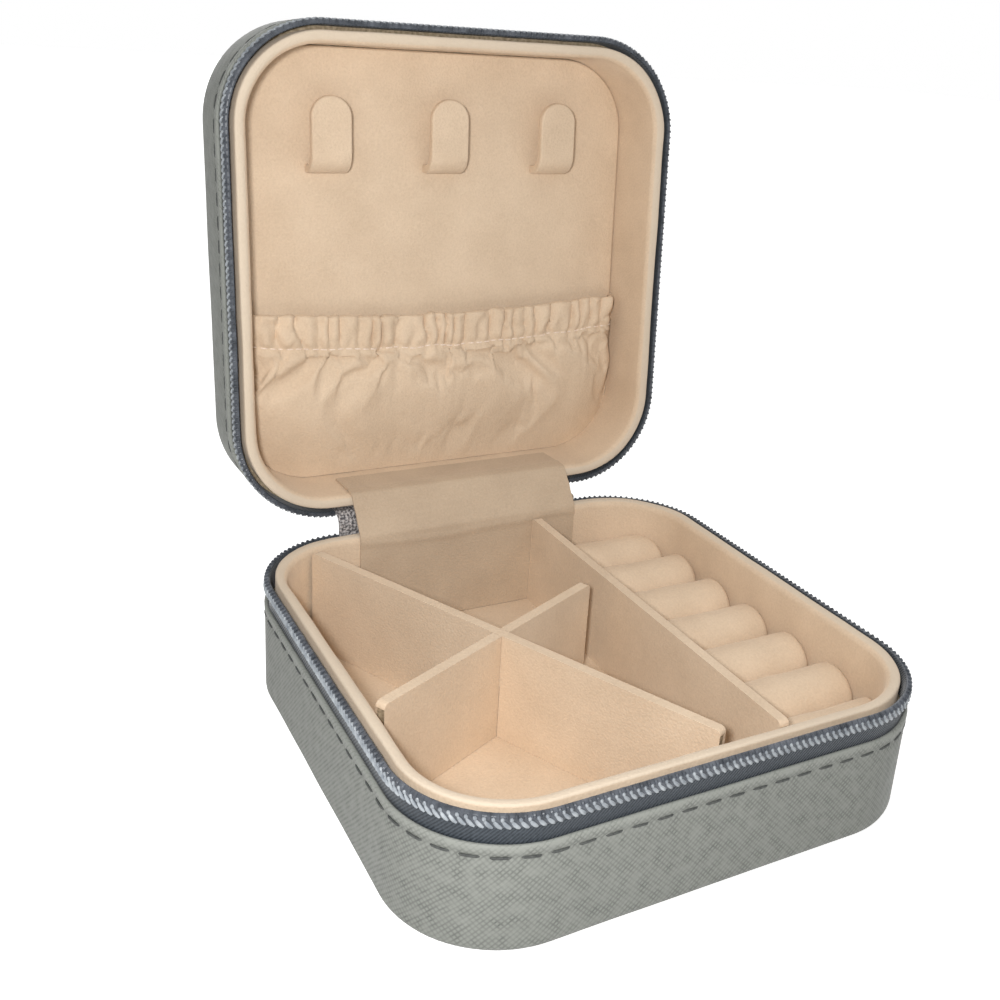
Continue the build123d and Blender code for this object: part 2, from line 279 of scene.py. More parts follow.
# Places read from the CAD frame
COVER_LOW, COVER_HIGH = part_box("base_side_cover")
TAPE_LOW, TAPE_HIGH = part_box("base_zip_tape")
TEETH_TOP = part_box("base_zip_teeth")[1].z
BOARD_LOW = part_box("base_board")[0]
LINING_LOW, LINING_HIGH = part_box("base_lining_wall")
PAD_LOW, PAD_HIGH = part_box("base_pad")
BOTTOM_LOW, BOTTOM_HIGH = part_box("base_bottom_cover")
HALF_WIDTH = (COVER_HIGH.x - COVER_LOW.x) / 2
HALF_DEPTH = (COVER_HIGH.y - COVER_LOW.y) / 2
BASE_RIM = LINING_HIGH.z
COVER_DROP = BASE_RIM - COVER_HIGH.z
TAPE_INSET = HALF_DEPTH - TAPE_HIGH.y
TAPE_THICKNESS = 0.4 * MM
LINING_INSET = HALF_DEPTH - LINING_HIGH.y
INNER_INSET = HALF_DEPTH - PAD_HIGH.y
FLOOR = PAD_HIGH.z
COVER_THICKNESS = BOARD_LOW.z - COVER_LOW.z

# Small distances
TINY = 0.001 * MM
SPINE_OVERLAP = 0.5 * MM
SPINE_GAP = 0.05 * MM
POCKET_GAP = 0.1 * MM
DISH_HOLE = 2 * MM
PATH_STEP = 0.5 * MM
FLAT_AREA = (3 * MM) ** 2

# Depth of the stitches' groove in threads, its profile as (height, depth) and the stitches' depth in groove depths
GROOVE = 0.45
GROOVE_LINE = ((-4, 0), (-1.6, 0.5), (0, 1), (1.6, 0.5))
STITCH_SINK = 0.7

# Middle line of a stitch: shares of its length along, and of its thread up
DASH_LINE = ((-0.5, -0.55), (-0.38, 0), (0, 0.12), (0.38, 0), (0.5, -0.55))

# One turn of the coil: shares of its pitch along, and of half its height up
BEAD = ((0.1, 0.68), (0.05, 0.52), (0.0, 0.34), (-0.05, 0.16))
STRAND = ((-0.06, 0.12), (-0.34, -0.22), (-0.66, -0.58), (-0.95, -0.92))
HEAD = ((0.5, 0.5), (0.5, 0.76), (0.5, 0.93), (0.5, 1.0))
COIL_SIDE = tuple((0, step / 8) for step in range(-8, 9))
COIL_SQUARENESS = 4

# Ring rolls: points round a roll, steps along it, rounding of its ends, and width of an end
ROLL_SIDES = 40
ROLL_STEPS = 30
ROLL_ENDS = (0, 0.08, 0.25, 0.5, 0.8, 1)
ROLL_END_WIDTH = 0.62

# Rows of the pocket's cloth: back of the hem, its turned edge in degrees, front of the hem, and the rest
HEM_BACK_ROWS = 8
HEM_TURN = (-60, -30, 0, 30, 60)
HEM_ROWS = 14
FRONT_ROWS = 40
HEM_TOP = HEM_BACK_ROWS + len(HEM_TURN)
HEM_LINE = HEM_TOP + HEM_ROWS

# Cloth of the pocket: edge, sides and back of the hem, ripple of the mouth, seam, puckers and folds
CLOTH_STEP = 0.42 * MM
POCKET_EDGE = 0.4 * MM
POCKET_SIDE = 3.4 * MM
HEM_BACK = 1.5 * MM
RIPPLE = 0.35 * MM
RIPPLE_SIZE = 5 * MM
SEAM_WIDTH = 1.3 * MM
SEAM_DIP = 0.3 * MM
SEAM_MARGIN = 1.5 * MM
SEAM_LIFT = 0.1 * MM
PUCKER_FADE = 4.5 * MM
FOLD_START = 6 * MM
SWELL_FADE = 20 * MM
LEAST_HEIGHT = 0.35 * MM
LEAST_RISE = 0.1 * MM

# Cloth of the hinge strip: density, unevenness, creases and their distance from the two rims
STRIP_STEP = 0.45 * MM
STRIP_WAVE = 0.1 * MM
STRIP_WAVE_SIZE = 6 * MM
CREASE_WIDTH = 0.9 * MM
CREASE_WANDER = 1.2 * MM
CREASE_WANDER_SIZE = 14 * MM
CREASE_BELOW = 1.6 * MM
CREASE_ABOVE = 2.2 * MM

# Edges of CAD copies that count as hard or upright, and end faces of the dividers
HARD_EDGE = 40
UPRIGHT = 0.9
END_FACING = 0.99
END_REACH = 0.2 * MM


def joint_named(name):
    """One joint of the frame."""
    return next(joint for joint in frame["joints"] if joint["name"] == name)


def settings(name):
    """One of the add-on's groups of properties."""
    return getattr(bpy.context.scene, name)


def lid_place():
    """Matrix from the lid tray, standing on its outer face, to the open lid."""
    case = settings("box_case")
    joint = joint_named("lid_hinge")
    pin = Vector(joint["pos_m"])
    opened = math.radians(joint["range_deg"][1])
    top = BASE_RIM + case.rim_gap + case.lid_height
    shut = Matrix.Translation((0, 0, top)) @ Matrix.Rotation(math.pi, 4, "Y")
    swing = Matrix.Translation(pin) @ Matrix.Rotation(-opened, 4, "X") @ Matrix.Translation(-pin)
    return swing @ shut


def trays():
    """The two halves of the case: name, height of the rim, matrix to the box, tape ends."""
    case = settings("box_case")
    tape = settings("box_zip")
    yield "base", BASE_RIM, IDENTITY, tape.right_end, tape.left_end
    yield "lid", case.lid_height, lid_place(), tape.left_end, tape.right_end


# Materials


def fill_inputs(tree, node, links):
    """Fills the named inputs of a node with values or links."""
    for socket, value in links.items():
        if isinstance(value, bpy.types.NodeSocket):
            tree.links.new(value, node.inputs[socket])
        else:
            node.inputs[socket].default_value = value


def add_node(tree, kind, links=None, stops=(), **options):
    """Adds a node with its options, its colour stops and its inputs, each a value or a link."""
    made = tree.nodes.new(kind)
    for name, value in options.items():
        setattr(made, name, value)
    for number, (place, shade) in enumerate(stops):
        made.color_ramp.elements[number].position = place
        made.color_ramp.elements[number].color = shade
    fill_inputs(tree, made, links or {})
    return made


def band_scale(pitch, slanted=False):
    """Scale of a wave texture whose bands lie a pitch apart, straight or slanted."""
    return 2 * math.pi / (10 * math.sqrt(2) if slanted else 20) / pitch


def seen_rays(tree):
    """1 for rays from the camera, from mirrors and through glass, 0 for the rays that light the box."""
    path = add_node(tree, "ShaderNodeLightPath").outputs
    links = {0: path["Is Camera Ray"], 1: path["Is Glossy Ray"]}
    mirrored = add_node(tree, "ShaderNodeMath", links, operation="MAXIMUM").outputs["Value"]
    links = {0: mirrored, 1: path["Is Transmission Ray"]}
    return add_node(tree, "ShaderNodeMath", links, operation="MAXIMUM").outputs["Value"]


def embossed_leather(tree, shader, low, high):
    # Small raised lozenges between crossed furrows, one way deeper and streaky, and a painted highlight that makes
    # the folded top edge paler
    add = partial(add_node, tree)
    place = add("ShaderNodeTexCoord").outputs["UV"]
    turned = add("ShaderNodeMapping", {"Vector": place, "Rotation": (0, 0, math.pi / 2)}).outputs["Vector"]
    links = {"Vector": place, "Rotation": (0, 0, -math.pi / 4), "Scale": (6, 1, 1)}
    drawn = add("ShaderNodeMapping", links, vector_type="TEXTURE").outputs["Vector"]
    streak = add("ShaderNodeTexNoise", {"Vector": drawn, "Scale": 1 / (0.45 * MM), "Detail": 3.0}).outputs["Fac"]
    patch = add("ShaderNodeTexNoise", {"Vector": place, "Scale": 1 / (2.2 * MM)}).outputs["Fac"]
    blotch = add("ShaderNodeTexNoise", {"Vector": place, "Scale": 1 / (7 * MM)}).outputs["Fac"]
    strong = add("ShaderNodeMath", {0: patch, 1: 1.8}, operation="MULTIPLY").outputs["Value"]
    broken = add("ShaderNodeMath", {0: strong, 1: 2.0}, operation="POWER").outputs["Value"]
    cells = 0.55
    for spot, pitch, depth in ((place, 0.7 * MM, 0.8), (turned, 0.76 * MM, 0.6)):
        scale = band_scale(pitch, True)
        links = {"Vector": spot, "Scale": scale, "Distortion": 1.8, "Detail": 1.0, "Detail Scale": 0.2}
        ridge = add("ShaderNodeTexWave", links, bands_direction="DIAGONAL").outputs["Fac"]
        sharp = add("ShaderNodeMath", {0: ridge, 1: 2.0}, operation="POWER").outputs["Value"]
        furrow = add("ShaderNodeMath", {0: sharp, 1: broken}, operation="MULTIPLY").outputs["Value"]
        left = add("ShaderNodeMath", {0: furrow, 1: -depth, 2: 1.0}, operation="MULTIPLY_ADD").outputs["Value"]
        cells = add("ShaderNodeMath", {0: cells, 1: left}, operation="MULTIPLY").outputs["Value"]
    grain = add("ShaderNodeMath", {0: streak, 1: 0.46, 2: cells}, operation="MULTIPLY_ADD").outputs["Value"]
    tone = add("ShaderNodeMath", {0: blotch, 1: 0.12, 2: grain}, operation="MULTIPLY_ADD").outputs["Value"]
    # Painted highlight: the folded top edge of the cover is made paler
    rub = add("ShaderNodeAttribute", attribute_name="rub").outputs["Fac"]
    tone = add("ShaderNodeMath", {0: rub, 1: 0.4, 2: tone}, operation="MULTIPLY_ADD").outputs["Value"]
    fill_inputs(tree, shader, {
        "Base Color": add("ShaderNodeValToRGB", {"Fac": tone}, stops=((0, low), (1, high))).outputs["Color"],
        "Roughness": 0.52,
        "Specular IOR Level": 0.15,
        "Normal": add("ShaderNodeBump", {"Height": grain, "Strength": 1, "Distance": 0.06 * MM}).outputs["Normal"],
    })


def brushed_velvet(tree, shader, low, high, rim_highlight, glow):
    # Soft matt nap: brushed blotches, a fine fuzz, pale edges from sheen, and a painted highlight that makes the top
    # of a rim paler still
    add = partial(add_node, tree)
    place = add("ShaderNodeTexCoord").outputs["Object"]
    brushed = add("ShaderNodeTexNoise", {"Vector": place, "Scale": 1 / (11 * MM), "Detail": 3.0}).outputs["Fac"]
    fuzz = add("ShaderNodeTexNoise", {"Vector": place, "Scale": 1 / (0.45 * MM)}).outputs["Fac"]
    nap = add("ShaderNodeMath", {0: brushed, 1: 0.55}, operation="MULTIPLY").outputs["Value"]
    tone = add("ShaderNodeMath", {0: fuzz, 1: 0.45, 2: nap}, operation="MULTIPLY_ADD").outputs["Value"]
    plain = add("ShaderNodeValToRGB", {"Fac": tone}, stops=((0.25, low), (0.75, high))).outputs["Color"]
    # Painted highlight: the top of each rim is made paler
    rub = add("ShaderNodeAttribute", attribute_name="rub").outputs["Fac"]
    share = add("ShaderNodeMath", {0: rub, 1: 0.7}, operation="MULTIPLY").outputs["Value"]
    fill_inputs(tree, shader, {
        "Base Color": add("ShaderNodeMix", {0: share, 6: plain, 7: rim_highlight}, data_type="RGBA").outputs[2],
        "Roughness": 0.95,
        "Specular IOR Level": 0.12,
        "Sheen Weight": 0.25,
        "Sheen Roughness": 0.45,
        "Sheen Tint": glow,
        "Normal": add("ShaderNodeBump", {"Height": fuzz, "Strength": 0.8, "Distance": 0.14 * MM}).outputs["Normal"],
    })


def satin_twill(tree, shader, low, high):
    # Slate satin twill: fine slanted ribs with a soft shine, drawn coarser than the real weave
    add = partial(add_node, tree)
    place = add("ShaderNodeTexCoord").outputs["UV"]
    scale = band_scale(0.5 * MM, True)
    links = {"Vector": place, "Scale": scale, "Distortion": 0.6, "Detail": 1.0, "Detail Scale": 0.25}
    twill = add("ShaderNodeTexWave", links, bands_direction="DIAGONAL").outputs["Fac"]
    yarn = add("ShaderNodeTexNoise", {"Vector": place, "Scale": 1 / (0.5 * MM)}).outputs["Fac"]
    loose = add("ShaderNodeMath", {0: yarn, 1: 0.6}, operation="MULTIPLY").outputs["Value"]
    tone = add("ShaderNodeMath", {0: twill, 1: 0.3, 2: loose}, operation="MULTIPLY_ADD").outputs["Value"]
    fill_inputs(tree, shader, {
        "Base Color": add("ShaderNodeValToRGB", {"Fac": tone}, stops=((0.2, low), (0.8, high))).outputs["Color"],
        "Roughness": 0.48,
        "Specular IOR Level": 0.2,
        "Sheen Weight": 0.2,
        "Sheen Roughness": 0.4,
        "Normal": add("ShaderNodeBump", {"Height": twill, "Strength": 1, "Distance": 0.06 * MM}).outputs["Normal"],
    })


def flecked_weave(tree, shader, low, high):
    # Coarse grey weave with pale and dark flecks
    add = partial(add_node, tree)
    place = add("ShaderNodeTexCoord").outputs["UV"]
    flecks = add("ShaderNodeTexNoise", {"Vector": place, "Scale": 1 / (0.55 * MM), "Detail": 1.0}).outputs["Fac"]
    scale = band_scale(0.8 * MM)
    links = {"Vector": place, "Scale": scale, "Distortion": 0.5, "Detail": 1.0, "Detail Scale": 0.25}
    ribs = add("ShaderNodeTexWave", links, bands_direction="X").outputs["Fac"]
    fill_inputs(tree, shader, {
        "Base Color": add("ShaderNodeValToRGB", {"Fac": flecks}, stops=((0.38, low), (0.66, high))).outputs["Color"],
        "Roughness": 0.8,
        "Normal": add("ShaderNodeBump", {"Height": ribs, "Strength": 1, "Distance": 0.12 * MM}).outputs["Normal"],
    })


def drawn_nylon(tree, shader, low, high):
    # Smooth drawn nylon with a small highlight on every turn
    add = partial(add_node, tree)
    place = add("ShaderNodeTexCoord").outputs["Object"]
    blotch = add("ShaderNodeTexNoise", {"Vector": place, "Scale": 1 / (2 * MM)}).outputs["Fac"]
    fill_inputs(tree, shader, {
        "Base Color": add("ShaderNodeValToRGB", {"Fac": blotch}, stops=((0.3, low), (0.7, high))).outputs["Color"],
        "Roughness": 0.34,
        "Specular IOR Level": 0.3,
    })


def spun_thread(tree, shader, low, high):
    # Matt spun thread with a slight change of shade along the row
    add = partial(add_node, tree)
    place = add("ShaderNodeTexCoord").outputs["Object"]
    twist = add("ShaderNodeTexNoise", {"Vector": place, "Scale": 1 / (0.5 * MM)}).outputs["Fac"]
    fill_inputs(tree, shader, {
        "Base Color": add("ShaderNodeValToRGB", {"Fac": twist}, stops=((0.3, low), (0.7, high))).outputs["Color"],
        "Roughness": 0.7,
        "Normal": add("ShaderNodeBump", {"Height": twist, "Strength": 1, "Distance": 0.05 * MM}).outputs["Normal"],
    })


def pressed_board(tree, shader, low, high):
    # Pressed grey-brown fibre, rough and slightly flaky
    add = partial(add_node, tree)
    place = add("ShaderNodeTexCoord").outputs["Object"]
    fibre = add("ShaderNodeTexNoise", {"Vector": place, "Scale": 1 / (0.8 * MM), "Detail": 6.0}).outputs["Fac"]
    fill_inputs(tree, shader, {
        "Base Color": add("ShaderNodeValToRGB", {"Fac": fibre}, stops=((0.3, low), (0.7, high))).outputs["Color"],
        "Roughness": 0.9,
        "Normal": add("ShaderNodeBump", {"Height": fibre, "Strength": 1, "Distance": 0.15 * MM}).outputs["Normal"],
    })


def ribbed_elastic(tree, shader, low, high):
    # Off-white ribs that run along the band
    add = partial(add_node, tree)
    place = add("ShaderNodeTexCoord").outputs["Object"]
    scale = band_scale(0.8 * MM)
    links = {"Vector": place, "Scale": scale, "Distortion": 0.4, "Detail": 1.0, "Detail Scale": 0.25}
    ribs = add("ShaderNodeTexWave", links, bands_direction="Z").outputs["Fac"]
    fill_inputs(tree, shader, {
        "Base Color": add("ShaderNodeValToRGB", {"Fac": ribs}, stops=((0, low), (1, high))).outputs["Color"],
        "Roughness": 0.8,
        "Normal": add("ShaderNodeBump", {"Height": ribs, "Strength": 1, "Distance": 0.1 * MM}).outputs["Normal"],
    })


def nickel_plate(tree, shader, plate):
    # Bright nickel plate with faint handling marks in its shine
    add = partial(add_node, tree)
    place = add("ShaderNodeTexCoord").outputs["Object"]
    marks = add("ShaderNodeTexNoise", {"Vector": place, "Scale": 1 / (1.5 * MM), "Detail": 4.0}).outputs["Fac"]
    dull = add("ShaderNodeMath", {0: marks, 1: 0.2, 2: 0.14}, operation="MULTIPLY_ADD").outputs["Value"]
    fill_inputs(tree, shader, {"Base Color": plate, "Metallic": 1.0, "Roughness": dull})


def matt_floor(tree, shader, floor):
    # Plain matt white that takes a soft shadow and stays white in the picture
    glow = add_node(tree, "ShaderNodeMath", {0: seen_rays(tree), 1: 0.68}, operation="MULTIPLY").outputs["Value"]
    fill_inputs(tree, shader, {
        "Base Color": floor,
        "Roughness": 0.9,
        "Specular IOR Level": 0.1,
        "Emission Color": (1, 1, 1, 1),
        "Emission Strength": glow,
    })


# Material names, the function that fills each one, and its colours
FINISHES = {
    "grained_leather": (embossed_leather, ("leather_low", "leather_high")),
    "cream_velvet": (brushed_velvet, ("velvet_low", "velvet_high", "velvet_worn", "velvet_glow")),
    "strip_velvet": (brushed_velvet, ("strip_low", "strip_high", "velvet_worn", "velvet_glow")),
    "woven_tape": (satin_twill, ("tape_low", "tape_high")),
    "speckled_weave": (flecked_weave, ("weave_low", "weave_high")),
    "silver_nylon": (drawn_nylon, ("silver_low", "silver_high")),
    "dark_nylon": (drawn_nylon, ("coil_low", "coil_high")),
    "dark_thread": (spun_thread, ("seam_low", "seam_high")),
    "pale_thread": (spun_thread, ("hem_low", "hem_high")),
    "grey_board": (pressed_board, ("board_low", "board_high")),
    "knitted_elastic": (ribbed_elastic, ("elastic_low", "elastic_high")),
    "plated_metal": (nickel_plate, ("plate",)),
    "white_floor": (matt_floor, ("floor",)),
}


def finish(name):
    """Material of that name, made once."""
    if name in bpy.data.materials:
        return bpy.data.materials[name]
    fill, shades = FINISHES[name]
    made = bpy.data.materials.new(name)
    made.use_nodes = True
    tree = made.node_tree
    colours = settings("box_colours")
    fill(tree, tree.nodes["Principled BSDF"], *(tuple(getattr(colours, shade)) for shade in shades))
    return made


# Meshes


def outline_length():
    """Length of the case's outline."""
    corner = settings("box_case").corner
    return 4 * (HALF_WIDTH + HALF_DEPTH - 2 * corner) + 2 * math.pi * corner


def rim_spot(distance):
    """Point of the case's outline and the way out, by distance from the middle of the back, clockwise."""
    corner = settings("box_case").corner
    half = outline_length() / 2
    side = 1 if distance <= half else -1
    left = distance if side > 0 else 2 * half - distance
    reach_x = HALF_WIDTH - corner
    reach_y = HALF_DEPTH - corner
    arc = corner * math.pi / 2
    if left < reach_x:
        spot, out = (left, HALF_DEPTH), (0, 1)
    elif left < reach_x + arc:
        turn = (left - reach_x) / corner
        out = (math.sin(turn), math.cos(turn))
        spot = (reach_x + corner * out[0], reach_y + corner * out[1])
    elif left < reach_x + arc + 2 * reach_y:
        spot, out = (HALF_WIDTH, reach_y - (left - reach_x - arc)), (1, 0)
    elif left < reach_x + 2 * arc + 2 * reach_y:
        turn = (left - reach_x - arc - 2 * reach_y) / corner
        out = (math.cos(turn), -math.sin(turn))
        spot = (reach_x + corner * out[0], -reach_y + corner * out[1])
    else:
        spot, out = (reach_x - (left - reach_x - 2 * arc - 2 * reach_y), -HALF_DEPTH), (0, -1)
    return Vector((side * spot[0], spot[1])), Vector((side * out[0], out[1]))


def on_rim(distance, inset):
    """Point of the outline moved in by an inset, which may reach the middle of the case."""
    spot, out = rim_spot(distance)
    deepest = settings("box_case").corner - MM
    if inset <= deepest:
        return spot - out * inset
    return (spot - out * deepest) * (HALF_WIDTH - inset) / (HALF_WIDTH - deepest)


def arc_points(inset, height, radius, first, last, steps=6):
    """Points of an arc in a profile, between two angles in degrees."""
    angles = [math.radians(first + (last - first) * step / steps) for step in range(steps + 1)]
    return [(inset + radius * math.cos(turn), height + radius * math.sin(turn)) for turn in angles]


def sweep(profile, start=None, end=None, dish=False, highlight_above=None):
    """Mesh of a profile of (inset, height) points carried round the case; a dish ends in two flat caps."""
    mesh = bmesh.new()
    rub = mesh.verts.layers.float.new("rub")
    uv = mesh.loops.layers.uv.new("UVMap")
    whole = start is None
    first, last = (0, outline_length()) if whole else (start, end)
    count = round((last - first) / settings("box_case").sweep_step)
    along = [first + (last - first) * step / count for step in range(count + 1)]
    stations = along[:-1] if whole else along
    rings = [[mesh.verts.new((*on_rim(spot, inset), z)) for inset, z in profile] for spot in stations]
    # Marks the points above a height; the materials paint them paler as a painted highlight
    for ring in rings:
        for vert, (_, z) in zip(ring, profile):
            vert[rub] = float(highlight_above is not None and z > highlight_above)
    across = [0.0]
    for near, far in zip(profile, profile[1:] + profile[:1]):
        across.append(across[-1] + math.dist(near, far))
    for step in range(count):
        here = rings[step]
        there = rings[(step + 1) % len(rings)]
        for row in range(len(profile) - dish):
            after = (row + 1) % len(profile)
            face = mesh.faces.new((here[row], there[row], there[after], here[after]))
            spots = [(step, row), (step + 1, row), (step + 1, row + 1), (step, row + 1)]
            for loop, (station, level) in zip(face.loops, spots):
                loop[uv].uv = (along[station], across[level])
    if dish:
        mesh.faces.new([ring[0] for ring in rings])
        mesh.faces.new([ring[-1] for ring in rings])
        flat_uv(mesh)
    elif not whole:
        mesh.faces.new(rings[0])
        mesh.faces.new(rings[-1])
    bmesh.ops.recalc_face_normals(mesh, faces=mesh.faces)
    return mesh


def flat_uv(mesh):
    """Lays the UV of a mesh flat, in metres."""
    uv = mesh.loops.layers.uv.verify()
    for face in mesh.faces:
        for loop in face.loops:
            loop[uv].uv = loop.vert.co.xy


def soften(mesh, height, size):
    """Moves a mesh in and out by smooth noise."""
    mesh.normal_update()
    moves = [vert.normal * noise.noise(vert.co / size) * height for vert in mesh.verts]
    for vert, move in zip(mesh.verts, moves):
        vert.co += move
    return mesh


def to_piece(mesh, name, *materials, place=IDENTITY, crease=50, flat=math.inf):
    """Object from a mesh in its place in the box, smooth up to a crease angle in degrees and a flat area."""
    data = bpy.data.meshes.new(name)
    bmesh.ops.recalc_face_normals(mesh, faces=mesh.faces)
    mesh.to_mesh(data)
    mesh.free()
    data.transform(place)
    for material in materials:
        data.materials.append(material)
    data.shade_smooth()
    data.set_sharp_from_angle(angle=math.radians(crease))
    for face in data.polygons:
        face.use_smooth = face.area < flat
    made = bpy.data.objects.new(name, data)
    bpy.context.collection.objects.link(made)
    return made


def settle(made, body, slot, *nodes):
    """Ties a piece to its body and hides the CAD nodes it stands for; the slot argument is not used."""
    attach(made, body)
    if nodes:
        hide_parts(*nodes)


def merged_copy(node):
    """Mesh of a CAD node with its loose triangles joined to plain faces."""
    mesh = bmesh.new()
    mesh.from_mesh(frame["nodes"][node].data)
    bmesh.ops.remove_doubles(mesh, verts=mesh.verts, dist=TINY)
    bmesh.ops.dissolve_limit(mesh, angle_limit=math.radians(1), verts=mesh.verts, edges=mesh.edges)
    return mesh


def soft_copy(node, bevel, steps=3, uprights=True):
    """Mesh of a CAD node with its hard edges rounded, the upright ones only if asked."""
    mesh = merged_copy(node)

    def chosen(edge):
        upright = abs(edge.verts[0].co.z - edge.verts[1].co.z) > UPRIGHT * edge.calc_length()
        return edge.calc_face_angle(0) > math.radians(HARD_EDGE) and (uprights or not upright)

    edges = [edge for edge in mesh.edges if chosen(edge)]
    bmesh.ops.bevel(
        mesh, geom=edges, offset=bevel, segments=steps, profile=0.5, affect="EDGES", clamp_overlap=True
    )
    return mesh


def tube(points, radius, mesh, taper=1.0, sides=6):
    """Adds a closed tube along a few points to a mesh, thinner at both ends by a taper."""
    points = [Vector(point) for point in points]
    angles = [2 * math.pi * side / sides for side in range(sides)]
    across = (points[1] - points[0]).orthogonal().normalized()
    rings = []
    for index, point in enumerate(points):
        near = points[max(index - 1, 0)]
        far = points[min(index + 1, len(points) - 1)]
        way = (far - near).normalized()
        across = (across - way * across.dot(way)).normalized()
        up = way.cross(across)
        reach = radius * (taper if index in (0, len(points) - 1) else 1)
        rings.append([mesh.verts.new(point + (across * math.cos(a) + up * math.sin(a)) * reach) for a in angles])
    for here, there in zip(rings, rings[1:]):
        for side in range(sides):
            after = (side + 1) % sides
            mesh.faces.new((here[side], here[after], there[after], there[side]))
    mesh.faces.new(rings[0])
    mesh.faces.new(rings[-1])
    return mesh


def drape(mesh, pinned, cap, pressure=0.0, slack=0.0):
    """Cloth pass: swells a mesh or gives it slack, with some points pinned and each move held to cap(spot)."""
    soft = settings("box_soft")
    scene = bpy.context.scene
    data = bpy.data.meshes.new("cloth_trial")
    mesh.verts.index_update()
    mesh.to_mesh(data)
    data.transform(Matrix.Scale(soft.trial_scale, 4))
    trial = bpy.data.objects.new("cloth_trial", data)
    scene.collection.objects.link(trial)
    group = trial.vertex_groups.new(name="pinned")
    group.add([vert.index for vert in pinned], 1.0, "REPLACE")
    modifier = trial.modifiers.new("cloth", "CLOTH")
    modifier.point_cache.frame_end = soft.trial_frames
    cloth = modifier.settings
    cloth.vertex_group_mass = group.name
    cloth.effector_weights.gravity = 0
    cloth.use_pressure = pressure > 0
    cloth.uniform_pressure_force = pressure
    cloth.shrink_min = -slack
    for step in range(1, soft.trial_frames + 1):
        scene.frame_set(step)
    graph = bpy.context.evaluated_depsgraph_get()
    for vert, spot in zip(mesh.verts, trial.evaluated_get(graph).data.vertices):
        move = spot.co / soft.trial_scale - vert.co
        vert.co += move * min(1, cap(vert.co) / max(move.length, TINY))
    bpy.data.objects.remove(trial)
    bpy.data.meshes.remove(data)
    scene.frame_set(1)


def dish_rings(edge, height, count):
    """Profile points from the edge of a dish to near its middle."""
    return [(edge + step * (HALF_WIDTH - edge - DISH_HOLE) / count, height) for step in range(1, count + 1)]


def coil_points(spots):
    """Points on the outside of the coil, from spots given in shares of its pitch and of half its height."""
    tape = settings("box_zip")
    depths = [tape.coil_depth * (1 - up**COIL_SQUARENESS) ** (1 / COIL_SQUARENESS) for _, up in spots]
    return [(along * tape.pitch, out, up * tape.coil_height / 2) for (along, up), out in zip(spots, depths)]


def dash_item(reach, thread):
    """One stitch: a short thread that dips at both ends."""
    points = [(along * reach, 0, up * thread) for along, up in DASH_LINE]
    return tube(points, thread / 2, bmesh.new())


# Geometry nodes


def items_tree():
    """Node tree that sets copies of an item along a path, turned to follow it."""
    name = "items_along_path"
    if name in bpy.data.node_groups:
        return bpy.data.node_groups[name]
    tree = bpy.data.node_groups.new(name, "GeometryNodeTree")
    for label, kind in (
        ("Path", "NodeSocketGeometry"),
        ("Item", "NodeSocketObject"),
        ("Spacing", "NodeSocketFloat"),
        ("Sway", "NodeSocketFloat"),
        ("Seed", "NodeSocketInt"),
        ("Material", "NodeSocketMaterial"),
    ):
        tree.interface.new_socket(label, in_out="INPUT", socket_type=kind)
    tree.interface.new_socket("Items", in_out="OUTPUT", socket_type="NodeSocketGeometry")
    given = add_node(tree, "NodeGroupInput").outputs
    route = add_node(tree, "GeometryNodeMeshToCurve", {"Mesh": given["Path"]}).outputs["Curve"]
    spots = add_node(tree, "GeometryNodeCurveToPoints", {"Curve": route, "Length": given["Spacing"]}, mode="LENGTH")
    facing = add_node(
        tree, "FunctionNodeAlignRotationToVector", {"Vector": spots.outputs["Tangent"]}, axis="X", pivot_axis="Z"
    )
    least = add_node(tree, "ShaderNodeMath", {0: given["Sway"], 1: -1.0}, operation="MULTIPLY").outputs["Value"]
    chance = add_node(tree, "FunctionNodeRandomValue", {"Seed": given["Seed"]}, data_type="FLOAT")
    tree.links.new(least, chance.inputs[2])
    tree.links.new(given["Sway"], chance.inputs[3])
    angle = add_node(tree, "ShaderNodeCombineXYZ", {"Y": chance.outputs[1]}).outputs["Vector"]
    turn = add_node(tree, "FunctionNodeEulerToRotation", {"Euler": angle}).outputs["Rotation"]
    aimed = add_node(
        tree,
        "FunctionNodeRotateRotation",
        {"Rotation": facing.outputs["Rotation"], "Rotate By": turn},
        rotation_space="LOCAL",
    )
    item = add_node(tree, "GeometryNodeObjectInfo", {"Object": given["Item"]}).outputs["Geometry"]
    copies = add_node(
        tree,
        "GeometryNodeInstanceOnPoints",
        {"Points": spots.outputs["Points"], "Instance": item, "Rotation": aimed.outputs["Rotation"]},
    )
    real = add_node(tree, "GeometryNodeRealizeInstances", {"Geometry": copies.outputs["Instances"]})
    done = add_node(
        tree, "GeometryNodeSetMaterial", {"Geometry": real.outputs["Geometry"], "Material": given["Material"]}
    )
    add_node(tree, "NodeGroupOutput", {"Items": done.outputs["Geometry"]})
    return tree


def items_along(name, points, item_mesh, material, spacing, sway=0.0, seed=0, place=IDENTITY):
    """Plain mesh object of an item repeated along points, through the node tree."""
    item = to_piece(item_mesh, f"{name}_item", material)
    data = bpy.data.meshes.new(f"{name}_path")
    data.from_pydata(points, [(step, step + 1) for step in range(len(points) - 1)], [])
    host = bpy.data.objects.new(f"{name}_host", data)
    bpy.context.collection.objects.link(host)
    tree = items_tree()
    modifier = host.modifiers.new("items", "NODES")
    modifier.node_group = tree
    values = {"Item": item, "Spacing": spacing, "Sway": sway, "Seed": seed, "Material": material}
    for socket in tree.interface.items_tree:
        if socket.in_out == "INPUT" and socket.name in values:
            modifier[socket.identifier] = values[socket.name]
    graph = bpy.context.evaluated_depsgraph_get()
    result = bpy.data.meshes.new_from_object(host.evaluated_get(graph))
    host.modifiers.remove(modifier)
    for spare in (host, item):
        bpy.data.objects.remove(spare)
    result.name = name
    result.transform(place)
    result.shade_smooth()
    made = bpy.data.objects.new(name, result)
    bpy.context.collection.objects.link(made)
    return made


